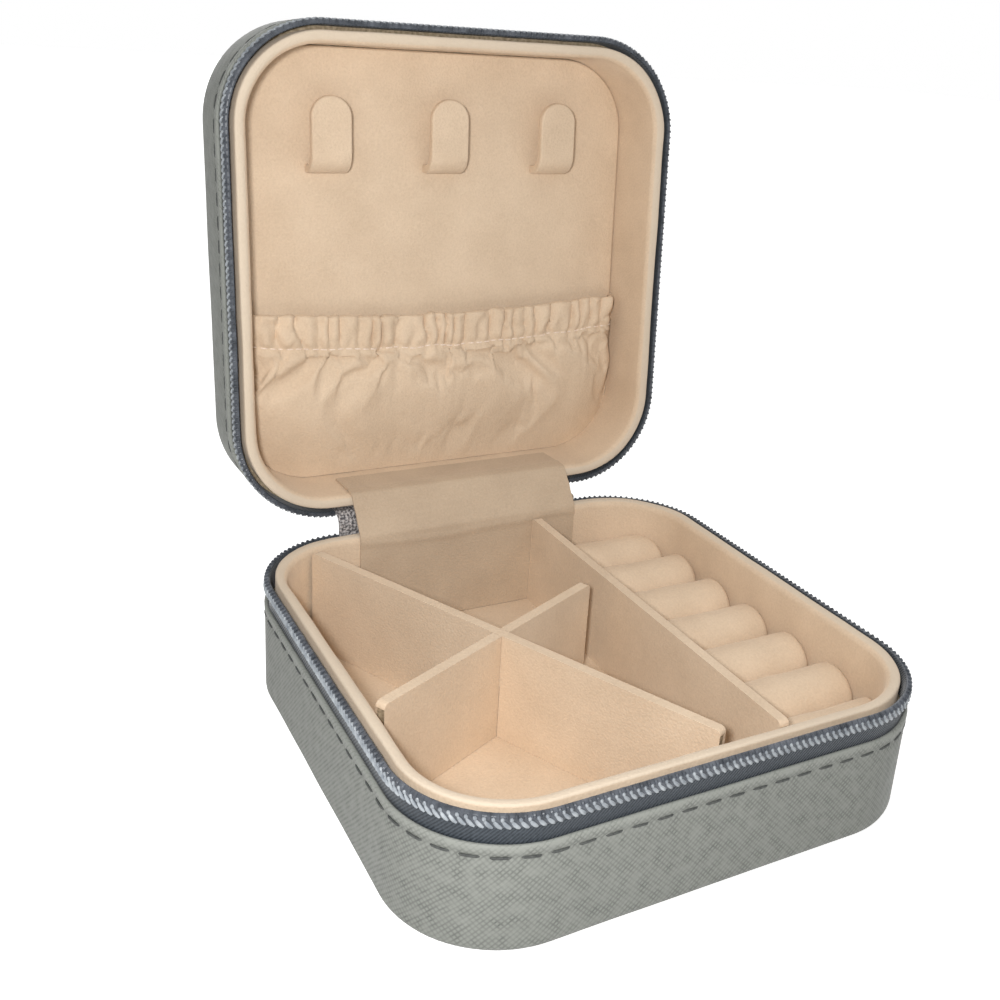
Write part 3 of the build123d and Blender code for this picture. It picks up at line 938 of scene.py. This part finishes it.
def rim_path(start, end, inset, height):
    """Points along the case's outline at one height."""
    count = round((end - start) / PATH_STEP)
    return [(*on_rim(start + (end - start) * step / count, inset), height) for step in range(count + 1)]


# Operators


class BOX_OT_covers(bpy.types.Operator):
    """Leather bands, outer panels and their rows of stitches"""

    bl_idname = "jewelry_box.covers"
    bl_label = "Covers"
    bl_options = {"REGISTER", "UNDO"}

    def execute(self, context):
        scene = context.scene
        case = scene.box_case
        stitch = scene.box_stitch
        panel_low = BOTTOM_HIGH.z - BOTTOM_LOW.z
        margin = HALF_DEPTH - BOTTOM_HIGH.y
        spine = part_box("hinge_spine")[1].x + stitch.spine_gap
        groove = GROOVE * stitch.thread
        leather = finish("grained_leather")
        thread = finish("dark_thread")
        for body, rim, place, _, _ in trays():
            top = rim - COVER_DROP
            row = top - stitch.drop
            fold = top - 2 * case.hem_round
            profile = [(case.turn_under, panel_low)]
            profile += arc_points(case.edge_round, panel_low + case.edge_round, case.edge_round, 270, 180)
            profile += [(depth * groove, row + up * groove) for up, depth in GROOVE_LINE]
            profile += [(-case.hem_foot, row - GROOVE_LINE[0][0] * groove)]
            profile += arc_points(case.hem_round - case.hem_stand, top - case.hem_round, case.hem_round, 180, 0)
            profile += [(COVER_THICKNESS, fold), (COVER_THICKNESS, panel_low + COVER_THICKNESS)]
            profile += [(case.turn_under, panel_low + COVER_THICKNESS)]
            # Points above the fold carry the painted highlight of the folded top edge
            mesh = soften(sweep(profile, highlight_above=fold), case.cover_wave, case.cover_wave_size)
            band = to_piece(mesh, f"{body}_leather_band", leather, place=place)
            settle(band, body, "cover", f"{body}_side_cover")
            sheet = [(margin, panel_low), (margin, case.panel_bevel), (margin + case.panel_bevel, 0)]
            sheet += dish_rings(margin, 0, 8)
            node = "base_bottom_cover" if body == "base" else "lid_top_cover"
            panel = to_piece(sweep(sheet, dish=True), f"{body}_leather_panel", leather, place=place)
            settle(panel, body, "cover", node)
            path = rim_path(spine, outline_length() - spine, groove * STITCH_SINK, row)
            item = dash_item(stitch.dash, stitch.thread)
            bmesh.ops.rotate(item, verts=item.verts, matrix=Matrix.Rotation(-math.pi / 2, 3, "X"))
            row_piece = items_along(
                f"{body}_stitches", path, item, thread, stitch.pitch, stitch.sway, stitch.seed, place
            )
            settle(row_piece, body, "cover")
        return {"FINISHED"}


class BOX_OT_linings(bpy.types.Operator):
    """Padded velvet walls, floor and lid panel"""

    bl_idname = "jewelry_box.linings"
    bl_label = "Linings"
    bl_options = {"REGISTER", "UNDO"}

    def execute(self, context):
        scene = context.scene
        case = scene.box_case
        velvet = finish("cream_velvet")
        for body, rim, place, _, _ in trays():
            lip = case.lip_round
            levels = [LINING_LOW.z + (rim - lip - LINING_LOW.z) * step / 10 for step in range(10)]
            profile = [(LINING_INSET, level) for level in levels]
            profile += arc_points(LINING_INSET + lip, rim - lip, lip, 180, 90)
            profile += arc_points(INNER_INSET - case.lip_roll, rim - case.lip_roll, case.lip_roll, 90, 0)
            profile += [(INNER_INSET, level) for level in reversed(levels[:-1])]
            # Points near the top of the rim carry the painted highlight of the rim
            wall = soften(sweep(profile, highlight_above=rim - 0.6 * lip), case.nap_wave, case.nap_wave_size)
            wall_piece = to_piece(wall, f"{body}_velvet_wall", velvet, place=place, crease=80)
            settle(wall_piece, body, "velvet", f"{body}_lining_wall")
            edge = INNER_INSET + case.pad_gap
            sheet = [(edge, PAD_LOW.z)]
            sheet += arc_points(edge + case.pad_round, FLOOR - case.pad_round, case.pad_round, 180, 90)
            sheet += dish_rings(edge, FLOOR, 16)
            pad = soften(sweep(sheet, dish=True), case.nap_wave / 2, case.nap_wave_size)
            pad_piece = to_piece(pad, f"{body}_velvet_pad", velvet, place=place, crease=80)
            settle(pad_piece, body, "velvet", f"{body}_pad")
        return {"FINISHED"}


class BOX_OT_zip(bpy.types.Operator):
    """Woven tapes and the two halves of the coil"""

    bl_idname = "jewelry_box.zip"
    bl_label = "Zip"
    bl_options = {"REGISTER", "UNDO"}

    def execute(self, context):
        scene = context.scene
        tape = scene.box_zip
        rise = tape.coil_height / 2
        half = TAPE_THICKNESS / 2
        for body, rim, place, right, left in trays():
            low = rim - (BASE_RIM - TAPE_LOW.z)
            high = rim - (BASE_RIM - TAPE_HIGH.z)
            levels = [low + (high - half - low) * step / 8 for step in range(8)]
            profile = [(TAPE_INSET, level) for level in levels]
            profile += arc_points(TAPE_INSET + half, high - half, half, 180, 0)
            profile += [(TAPE_INSET + TAPE_THICKNESS, level) for level in reversed(levels)]
            cloth = soften(sweep(profile, right, outline_length() - left), tape.tape_wave, tape.tape_wave_size)
            tape_piece = to_piece(cloth, f"{body}_woven_tape", finish("woven_tape"), place=place)
            settle(tape_piece, body, "zip_tape", f"{body}_zip_tape")
            margins = (tape.coil_margin, 0) if body == "base" else (0, tape.coil_margin)
            start = right + margins[0]
            end = outline_length() - left - margins[1]
            middle = rim - (BASE_RIM - TEETH_TOP) - tape.wire - rise
            # The core and the heads are dark nylon, painted darker in part as the shade they sit in
            core = [(TAPE_INSET + half, middle - rise)]
            core += [(TAPE_INSET - out, middle + up) for _, out, up in coil_points(COIL_SIDE)]
            core += [(TAPE_INSET + half, middle + rise)]
            cord_piece = to_piece(sweep(core, start, end), f"{body}_coil_cord", finish("dark_nylon"), place=place)
            settle(cord_piece, body, "zip_teeth")
            path = rim_path(start, end, TAPE_INSET, middle)
            turn = tube(coil_points(BEAD), tape.wire, bmesh.new(), 0.6)
            tube(coil_points(STRAND), tape.strand, turn, 0.6)
            coil = items_along(f"{body}_coil", path, turn, finish("silver_nylon"), tape.pitch, place=place)
            settle(coil, body, "zip_teeth", f"{body}_zip_teeth")
            knob = tube(coil_points(HEAD), tape.wire, bmesh.new(), 0.7)
            heads = items_along(f"{body}_coil_heads", path, knob, finish("dark_nylon"), tape.pitch, place=place)
            settle(heads, body, "zip_teeth")
        return {"FINISHED"}


class BOX_OT_slider(bpy.types.Operator):
    """Plated slider and its pull"""

    bl_idname = "jewelry_box.slider"
    bl_label = "Slider"
    bl_options = {"REGISTER", "UNDO"}

    def execute(self, context):
        scene = context.scene
        for node, body in (("zip_slider", "slider"), ("zip_pull", "pull")):
            mesh = soft_copy(node, scene.box_zip.slider_round, 2)
            made = to_piece(mesh, f"{node}_plated", finish("plated_metal"), crease=35, flat=MM**2)
            settle(made, body, "slider_metal", node)
        return {"FINISHED"}


class BOX_OT_dividers(bpy.types.Operator):
    """Velvet boards with raw board at their ends"""

    bl_idname = "jewelry_box.dividers"
    bl_label = "Dividers"
    bl_options = {"REGISTER", "UNDO"}

    def execute(self, context):
        scene = context.scene
        soft = scene.box_soft
        turn = soft.board_turn
        along = {
            "cross_divider": Vector((math.cos(turn), math.sin(turn), 0)),
            "long_divider": Vector((-math.sin(turn), math.cos(turn), 0)),
            "ring_divider": Vector((0, 1, 0)),
        }
        for node, way in along.items():
            mesh = soft_copy(node, soft.board_round, 4, uprights=False)
            mesh.normal_update()
            low, high = (pick(vert.co.dot(way) for vert in mesh.verts) for pick in (min, max))
            ends = [
                face
                for face in mesh.faces
                if abs(face.normal.dot(way)) > END_FACING
                and min(abs(face.calc_center_median().dot(way) - side) for side in (low, high)) < END_REACH
            ]
            bmesh.ops.inset_individual(mesh, faces=ends, thickness=soft.board_cloth, depth=-soft.board_sink)
            for face in ends:
                face.material_index = 1
            finishes = (finish("cream_velvet"), finish("grey_board"))
            made = to_piece(mesh, f"{node}_velvet", *finishes, crease=60, flat=FLAT_AREA)
            settle(made, "base" if node == "ring_divider" else node, "velvet", node)
        return {"FINISHED"}


class BOX_OT_rolls(bpy.types.Operator):
    """Stuffed ring rolls"""

    bl_idname = "jewelry_box.rolls"
    bl_label = "Ring rolls"
    bl_options = {"REGISTER", "UNDO"}

    def execute(self, context):
        scene = context.scene
        soft = scene.box_soft
        corner = scene.box_case.corner
        rolls = sorted(name for name in frame["nodes"] if name.startswith("ring_roll"))
        clear = HALF_WIDTH - max(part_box(name)[1].x for name in rolls)

        def wall_x(y, straight):
            """Right end of a roll, which follows the wall's rounded corner."""
            over = abs(y) - (HALF_DEPTH - corner)
            if over <= 0:
                return straight
            return min(straight, HALF_WIDTH - corner + math.sqrt(max((corner - clear) ** 2 - over**2, 0)))

        for name in rolls:
            low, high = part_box(name)
            radius = (high.y - low.y) / 2 - soft.roll_swell / 2
            centre = Vector((0, (low.y + high.y) / 2, high.z - radius - soft.roll_swell / 2))
            mesh = bmesh.new()
            rings = []
            rounding = soft.roll_round / (high.x - low.x)
            places = [(rounding * end, math.sqrt(1 - (1 - end) ** 2)) for end in ROLL_ENDS]
            middle = [(rounding + step / ROLL_STEPS * (1 - 2 * rounding), 1) for step in range(1, ROLL_STEPS)]
            route = places + middle + [(1 - share, size) for share, size in reversed(places)]
            for share, size in route:
                ring = []
                scale = ROLL_END_WIDTH + (1 - ROLL_END_WIDTH) * size
                for step in range(ROLL_SIDES):
                    turn = 2 * math.pi * step / ROLL_SIDES
                    y = centre.y + radius * scale * math.cos(turn)
                    z = max(centre.z + radius * scale * math.sin(turn), low.z)
                    x = low.x + share * (wall_x(y, high.x) - low.x)
                    ring.append(mesh.verts.new((x, y, z)))
                rings.append(ring)
            for here, there in zip(rings, rings[1:]):
                for step in range(ROLL_SIDES):
                    after = (step + 1) % ROLL_SIDES
                    mesh.faces.new((here[step], here[after], there[after], there[step]))
            caps = [mesh.faces.new(rings[0]), mesh.faces.new(rings[-1])]
            bmesh.ops.poke(mesh, faces=caps)
            bmesh.ops.recalc_face_normals(mesh, faces=mesh.faces)
            soften(mesh, soft.roll_lump, soft.roll_lump_size)
            resting = [vert for vert in mesh.verts if vert.co.z < low.z + soft.roll_lump]
            drape(mesh, resting, lambda spot: soft.roll_swell, pressure=soft.roll_pressure)
            made = to_piece(mesh, f"{name}_stuffed", finish("cream_velvet"), crease=80)
            settle(made, "base", "velvet", name)
        return {"FINISHED"}


class BOX_OT_hooks(bpy.types.Operator):
    """Necklace hooks on the lid panel"""

    bl_idname = "jewelry_box.hooks"
    bl_label = "Hooks"
    bl_options = {"REGISTER", "UNDO"}

    def execute(self, context):
        scene = context.scene
        for name in sorted(node for node in frame["nodes"] if node.startswith("necklace_hook")):
            mesh = soft_copy(name, scene.box_soft.hook_round)
            made = to_piece(mesh, f"{name}_velvet", finish("cream_velvet"), crease=60, flat=FLAT_AREA)
            settle(made, "lid", "velvet", name)
        return {"FINISHED"}


def rounded_route(points, bend, step):
    """Evenly dense points along a bent line with rounded corners, each with its distance."""
    points = [Vector(point) for point in points]
    route = [points[0]]
    for before, corner, after in zip(points, points[1:], points[2:]):
        near = (before - corner).normalized()
        far = (after - corner).normalized()
        half = near.angle(far) / 2
        reach = bend / math.tan(half)
        middle = corner + (near + far).normalized() * bend / math.sin(half)
        start = corner + near * reach - middle
        turn = start.angle_signed(corner + far * reach - middle)
        for share in range(9):
            cos, sin = math.cos(-turn * share / 8), math.sin(-turn * share / 8)
            route.append(middle + Vector((start.x * cos - start.y * sin, start.x * sin + start.y * cos)))
    route.append(points[-1])
    dense = [(route[0], 0.0)]
    for near, far in zip(route, route[1:]):
        span = (far - near).length
        if span < TINY:
            continue
        count = max(1, math.ceil(span / step))
        base = dense[-1][1]
        dense += [(near.lerp(far, part / count), base + span * part / count) for part in range(1, count + 1)]
    return dense


def strip_mesh(points, bend, thickness, width, middle, creases=(), depth=0.0):
    """Bent sheet with its width along X, dented by soft creases at distances along it."""
    mesh = bmesh.new()
    uv = mesh.loops.layers.uv.new("UVMap")
    route = rounded_route(points, bend, STRIP_STEP)
    columns = round(width / MM)
    sides = []
    for face_side in (1, -1):
        rows = []
        for index, (spot, run) in enumerate(route):
            near = route[max(index - 1, 0)][0]
            far = route[min(index + 1, len(route) - 1)][0]
            way = (far - near).normalized()
            out = Vector((way.y, -way.x))
            row = []
            for column in range(columns + 1):
                x = middle + width * (column / columns - 0.5)
                dent = 0.0
                for place in creases:
                    wander = place + CREASE_WANDER * noise.noise((x / CREASE_WANDER_SIZE, place / MM, 0))
                    dent += depth * math.exp(-(((run - wander) / CREASE_WIDTH) ** 2))
                wave = STRIP_WAVE * noise.noise((x / STRIP_WAVE_SIZE, run / STRIP_WAVE_SIZE, 3))
                lift = face_side * thickness / 2 - dent + wave
                row.append(mesh.verts.new((x, spot.x + out.x * lift, spot.y + out.y * lift)))
            rows.append(row)
        sides.append(rows)
    lasts = (len(route) - 1, columns)
    for rows in sides:
        for line in range(lasts[0]):
            for column in range(lasts[1]):
                corners = [(line, column), (line + 1, column), (line + 1, column + 1), (line, column + 1)]
                face = mesh.faces.new([rows[a][b] for a, b in corners])
                for loop, (a, b) in zip(face.loops, corners):
                    loop[uv].uv = (width * b / columns, route[a][1])
    front, back = sides
    for a, b in [(line, line + 1) for line in range(lasts[0])]:
        for column in (0, lasts[1]):
            mesh.faces.new((front[a][column], front[b][column], back[b][column], back[a][column]))
    for a, b in [(column, column + 1) for column in range(lasts[1])]:
        for line in (0, lasts[0]):
            mesh.faces.new((front[line][a], front[line][b], back[line][b], back[line][a]))
    return mesh, route[-1][1]


class BOX_OT_hinge(bpy.types.Operator):
    """Velvet hinge strip, leather spine and woven zip end, shaped to the open lid"""

    bl_idname = "jewelry_box.hinge"
    bl_label = "Hinge strips"
    bl_options = {"REGISTER", "UNDO"}

    def execute(self, context):
        scene = context.scene
        soft = scene.box_soft
        lid = lid_place()
        rim = scene.box_case.lid_height
        pin = Vector(joint_named("lid_hinge")["pos_m"])
        opened = math.radians(joint_named("lid_hinge")["range_deg"][1])

        def on_lid(y, z):
            """Place on the open lid of a point of its tray, seen from the side."""
            return (lid @ Vector((0, y, z))).yz

        low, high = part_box("hinge_lining")
        pocket = FLOOR + soft.pocket_depth
        thickness = soft.strip
        face = HALF_DEPTH - INNER_INSET - thickness / 2
        points = [(face, low.z), (face, BASE_RIM), on_lid(face, rim), on_lid(face, pocket)]
        first = BASE_RIM - low.z
        gap = (Vector(points[2]) - Vector(points[1])).length
        creases = (first - CREASE_BELOW, first + 0.55 * gap, first + gap + CREASE_ABOVE)
        width = high.x - low.x
        mesh, run = strip_mesh(points, soft.strip_bend, thickness, width, 0, creases, soft.strip_crease)
        lining = to_piece(mesh, "hinge_velvet", finish("strip_velvet"), crease=80)
        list(points[1])
        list(points[2])
        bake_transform(lining)
        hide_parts("hinge_lining")

        spine_low, spine_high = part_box("hinge_spine")
        spine_face = HALF_DEPTH + COVER_THICKNESS / 2 + SPINE_GAP
        end_face = HALF_DEPTH - TAPE_INSET - TAPE_THICKNESS / 2
        end_right = spine_low.x + SPINE_OVERLAP
        leather = finish("grained_leather")
        weave = finish("speckled_weave")
        for node, name, material, slot, right, thickness, face in (
            ("hinge_spine", "hinge_leather", leather, "cover", spine_high.x, COVER_THICKNESS, spine_face),
            ("zip_end", "zip_end_woven", weave, "zip_tape", end_right, TAPE_THICKNESS, end_face),
        ):
            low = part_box(node)[0]
            corner = pin.z + (pin.y - face) * math.tan(opened / 2)
            depth = BASE_RIM - low.z
            points = [(face, low.z), (face, corner), on_lid(face, rim - depth)]
            mesh, _ = strip_mesh(points, soft.spine_bend, thickness, right - low.x, (low.x + right) / 2)
            strip = to_piece(mesh, name, material, crease=60)
            bend = Vector((0, face, corner))
            lid_way = Vector((0, *on_lid(face, rim - depth))) - bend
            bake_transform(strip)
            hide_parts(node)
        return {"FINISHED"}


class BOX_OT_pocket(bpy.types.Operator):
    """Gathered pocket of the lid with its stitched hem"""

    bl_idname = "jewelry_box.pocket"
    bl_label = "Pocket"
    bl_options = {"REGISTER", "UNDO"}

    def execute(self, context):
        scene = context.scene
        soft = scene.box_soft
        stitch = scene.box_stitch
        corner = scene.box_case.corner
        half = HALF_WIDTH - INNER_INSET - POCKET_GAP
        bend = corner - INNER_INSET - POCKET_GAP
        mouth = HALF_DEPTH - soft.pocket_reach
        place = lid_place()

        def smooth(value):
            """Soft step from 0 to 1."""
            value = min(max(value, 0), 1)
            return value * value * (3 - 2 * value)

        def mouth_y(x):
            """Line of the mouth."""
            ripple = RIPPLE * noise.noise((x / RIPPLE_SIZE, 0, 9))
            return mouth + soft.pocket_sag * (1 - (x / HALF_WIDTH) ** 2) + ripple

        def foot_y(x):
            """Line where the pocket meets the wall."""
            over = abs(x) - (half - bend)
            if over <= 0:
                return half
            return half - bend + math.sqrt(max(bend**2 - over**2, 0))

        def puckers(x, down):
            """Tight puckers of the gathered hem."""
            lean = x + 1.1 * MM * noise.noise((x / (6 * MM), down / (5 * MM), 4))
            phase = lean / soft.gather_pitch + 1.1 * noise.noise((x / (9 * MM), 0, 0))
            size = 0.7 + 0.7 * noise.noise((x / (8 * MM), 5, down / (9 * MM)))
            return size * (abs(math.sin(math.pi * phase)) ** 0.6 - 0.6)

        def folds(x, down):
            """Wide soft folds below the hem."""
            slant = x / soft.fold_pitch + 0.8 * noise.noise((x / (24 * MM), down / (14 * MM), 2))
            crest = 1 - 2 * abs(noise.noise((1.6 * slant, down / (30 * MM), 6)))
            return crest + 0.5 * math.sin(2 * math.pi * slant)

        def height(x, down, deep):
            """Front of the pocket above the panel, at a distance down from the mouth."""
            side = smooth((half - abs(x)) / POCKET_SIDE)
            share = min(max(down / deep, 0), 1)
            body = POCKET_EDGE + (soft.pocket_depth - POCKET_EDGE) * side * (1 - share**2.4)
            near = smooth(1 - abs(down - soft.hem) / SEAM_WIDTH)
            fade = 1 if down < soft.hem else math.exp(-(down - soft.hem) / PUCKER_FADE)
            crumple = 0.3 * noise.noise((x / (2.2 * MM), down / (2.6 * MM), 8))
            pucker = soft.gather * (puckers(x, down) + crumple) * fade * (1 - 0.5 * near)
            soft_fold = soft.fold * folds(x, down) * smooth((down - soft.hem) / FOLD_START) * (1 - share)
            return max(body + side * (pucker + soft_fold - SEAM_DIP * near), LEAST_HEIGHT)

        back = soft.pocket_depth - HEM_BACK
        columns = round(2 * half / CLOTH_STEP)
        mesh = bmesh.new()
        grid = []
        for column in range(columns + 1):
            x = half * (2 * column / columns - 1)
            top = mouth_y(x)
            deep = foot_y(x) - top
            side = smooth((half - abs(x)) / POCKET_SIDE)
            behind = POCKET_EDGE + (back - POCKET_EDGE) * side
            line = [(soft.hem * (1 - step / HEM_BACK_ROWS), behind) for step in range(HEM_BACK_ROWS)]
            front = height(x, 0, deep)
            middle = (front + behind) / 2
            rise = max((front - behind) / 2, LEAST_RISE)
            line += [
                (-rise * 0.6 * math.cos(math.radians(turn)), middle + rise * math.sin(math.radians(turn)))
                for turn in HEM_TURN
            ]
            downs = [soft.hem * step / HEM_ROWS for step in range(HEM_ROWS + 1)]
            downs += [soft.hem + (deep - soft.hem) * (step / FRONT_ROWS) for step in range(1, FRONT_ROWS + 1)]
            line += [(down, height(x, down, deep)) for down in downs]
            grid.append([mesh.verts.new((x, top + down, FLOOR + up)) for down, up in line])
        for here, there in zip(grid, grid[1:]):
            for row in range(len(here) - 1):
                mesh.faces.new((here[row], there[row], there[row + 1], here[row + 1]))
        bmesh.ops.recalc_face_normals(mesh, faces=mesh.faces)
        sewn = [line[HEM_LINE] for line in grid]
        edges = grid[0] + grid[-1] + [line[0] for line in grid] + [line[-1] for line in grid]

        def most(spot):
            """Largest move in the cloth pass, less near the wall."""
            return soft.pocket_swell * smooth((foot_y(spot.x) - spot.y) / SWELL_FADE)

        drape(mesh, sewn + edges, most, slack=soft.pocket_slack)
        for vert in mesh.verts:
            vert.co.z = max(vert.co.z, FLOOR + soft.cloth)
        area = sum(face.calc_area() for face in mesh.faces)
        hem_row = [line[HEM_TOP + HEM_ROWS // 2].co for line in grid]
        width = sum((far - near).length for near, far in zip(hem_row, hem_row[1:]))
        middle_line = [vert.co for vert in grid[len(grid) // 2]]
        cut = sum((far - near).length for near, far in zip(middle_line, middle_line[1:]))
        seam_spots = [vert.co.copy() for vert in sewn]
        bmesh.ops.solidify(mesh, geom=list(mesh.faces), thickness=soft.cloth)
        made = to_piece(mesh, "pocket_velvet", finish("cream_velvet"), place=place, crease=80)
        settle(made, "lid", "velvet", "lid_pocket")
        lift = Vector((0, 0, SEAM_LIFT))
        row = [spot + lift for spot in seam_spots if abs(spot.x) < half - SEAM_MARGIN]
        thread = finish("pale_thread")
        item = dash_item(stitch.hem_dash, stitch.hem_thread)
        seam = items_along("pocket_stitches", row, item, thread, stitch.hem_pitch, stitch.sway, stitch.seed, place)
        settle(seam, "lid", "velvet")
        return {"FINISHED"}


class BOX_OT_hidden(bpy.types.Operator):
    """Finishes of the CAD nodes that are shown as they are"""

    bl_idname = "jewelry_box.hidden"
    bl_label = "Hidden boards"
    bl_options = {"REGISTER", "UNDO"}

    def execute(self, context):
        finishes = {"pocket_elastic": finish("knitted_elastic"), "ring_bed": finish("cream_velvet")}
        for body in ("base", "lid"):
            finishes[f"{body}_board"] = finish("grey_board")
            finishes[f"{body}_board_frame"] = finish("grey_board")
        for node, material in finishes.items():
            data = frame["nodes"][node].data
            data.materials.clear()
            data.materials.append(material)
        return {"FINISHED"}


class BOX_OT_stage(bpy.types.Operator):
    """Floor, lamps and camera"""

    bl_idname = "jewelry_box.stage"
    bl_label = "Stage"
    bl_options = {"REGISTER", "UNDO"}

    def execute(self, context):
        scene = context.scene
        stage = scene.box_stage
        half = stage.floor / 2
        aim = (-Vector(stage.aim)).to_track_quat("Z", "Y").to_matrix().to_4x4()
        view = aim @ Matrix.Rotation(stage.roll, 4, "Z")
        mesh = bmesh.new()
        corners = ((-half, -half), (half, -half), (half, half), (-half, half))
        mesh.faces.new([mesh.verts.new((x, y, 0)) for x, y in corners])
        to_piece(mesh, "floor", finish("white_floor"))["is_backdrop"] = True
        front = Matrix.Translation(stage.camera) @ view
        flash = bpy.data.lights.new("flash", "AREA")
        flash.size = stage.flash_size
        flash.energy = stage.flash_power
        lamps = [(flash, front @ Matrix.Translation(stage.flash_offset))]
        for name, way, power in (
            ("overhead", stage.overhead, stage.overhead_power),
            ("behind", stage.behind, stage.behind_power),
        ):
            lamp = bpy.data.lights.new(name, "SUN")
            lamp.angle = stage.lamp_spread
            lamp.energy = power
            lamps.append((lamp, Vector(way).to_track_quat("Z", "Y").to_matrix().to_4x4()))
        for lamp, place in lamps:
            made = bpy.data.objects.new(lamp.name, lamp)
            made.matrix_world = place
            bpy.context.collection.objects.link(made)
        world = bpy.data.worlds.new("studio")
        world.use_nodes = True
        scene.world = world
        tree = world.node_tree
        strength = add_node(tree, "ShaderNodeMath", {0: seen_rays(tree), 1: stage.ambient}, operation="MAXIMUM")
        sky = {"Color": (1, 1, 1, 1), "Strength": strength.outputs["Value"]}
        fill_inputs(tree, tree.nodes["Background"], sky)
        data = bpy.data.cameras.new("camera")
        data.lens = stage.lens
        data.shift_x = stage.shift_x
        data.shift_y = stage.shift_y
        data.clip_start = 10 * MM
        camera = bpy.data.objects.new("camera", data)
        camera.matrix_world = front
        bpy.context.collection.objects.link(camera)
        scene.camera = camera
        scene.view_settings.view_transform = "Standard"
        return {"FINISHED"}


OPERATORS = (
    BOX_OT_covers,
    BOX_OT_linings,
    BOX_OT_zip,
    BOX_OT_slider,
    BOX_OT_dividers,
    BOX_OT_rolls,
    BOX_OT_hooks,
    BOX_OT_hinge,
    BOX_OT_pocket,
    BOX_OT_hidden,
    BOX_OT_stage,
)


class BOX_PT_panel(bpy.types.Panel):
    """Sidebar panel with every build step"""

    bl_idname = "BOX_PT_panel"
    bl_label = "Jewelry Box"
    bl_space_type = "VIEW_3D"
    bl_region_type = "UI"
    bl_category = "Jewelry Box"

    def draw(self, context):
        for operator in OPERATORS:
            self.layout.operator(operator.bl_idname)


def register():
    for group in SETTINGS.values():
        bpy.utils.register_class(group)
    for name, group in SETTINGS.items():
        setattr(bpy.types.Scene, name, PointerProperty(type=group))
    for kind in (*OPERATORS, BOX_PT_panel):
        bpy.utils.register_class(kind)


def unregister():
    for kind in reversed((*OPERATORS, BOX_PT_panel)):
        bpy.utils.unregister_class(kind)
    for name in SETTINGS:
        delattr(bpy.types.Scene, name)
    for group in SETTINGS.values():
        bpy.utils.unregister_class(group)


def main():
    register()
    for operator in OPERATORS:
        area, step = operator.bl_idname.split(".")
        getattr(getattr(bpy.ops, area), step)()
    boxes = {"cad": CAD_BOX, "final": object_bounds()}
    plain = {name: [list(corner) for corner in corners] for name, corners in boxes.items()}


if __name__ == "__main__":
    main()
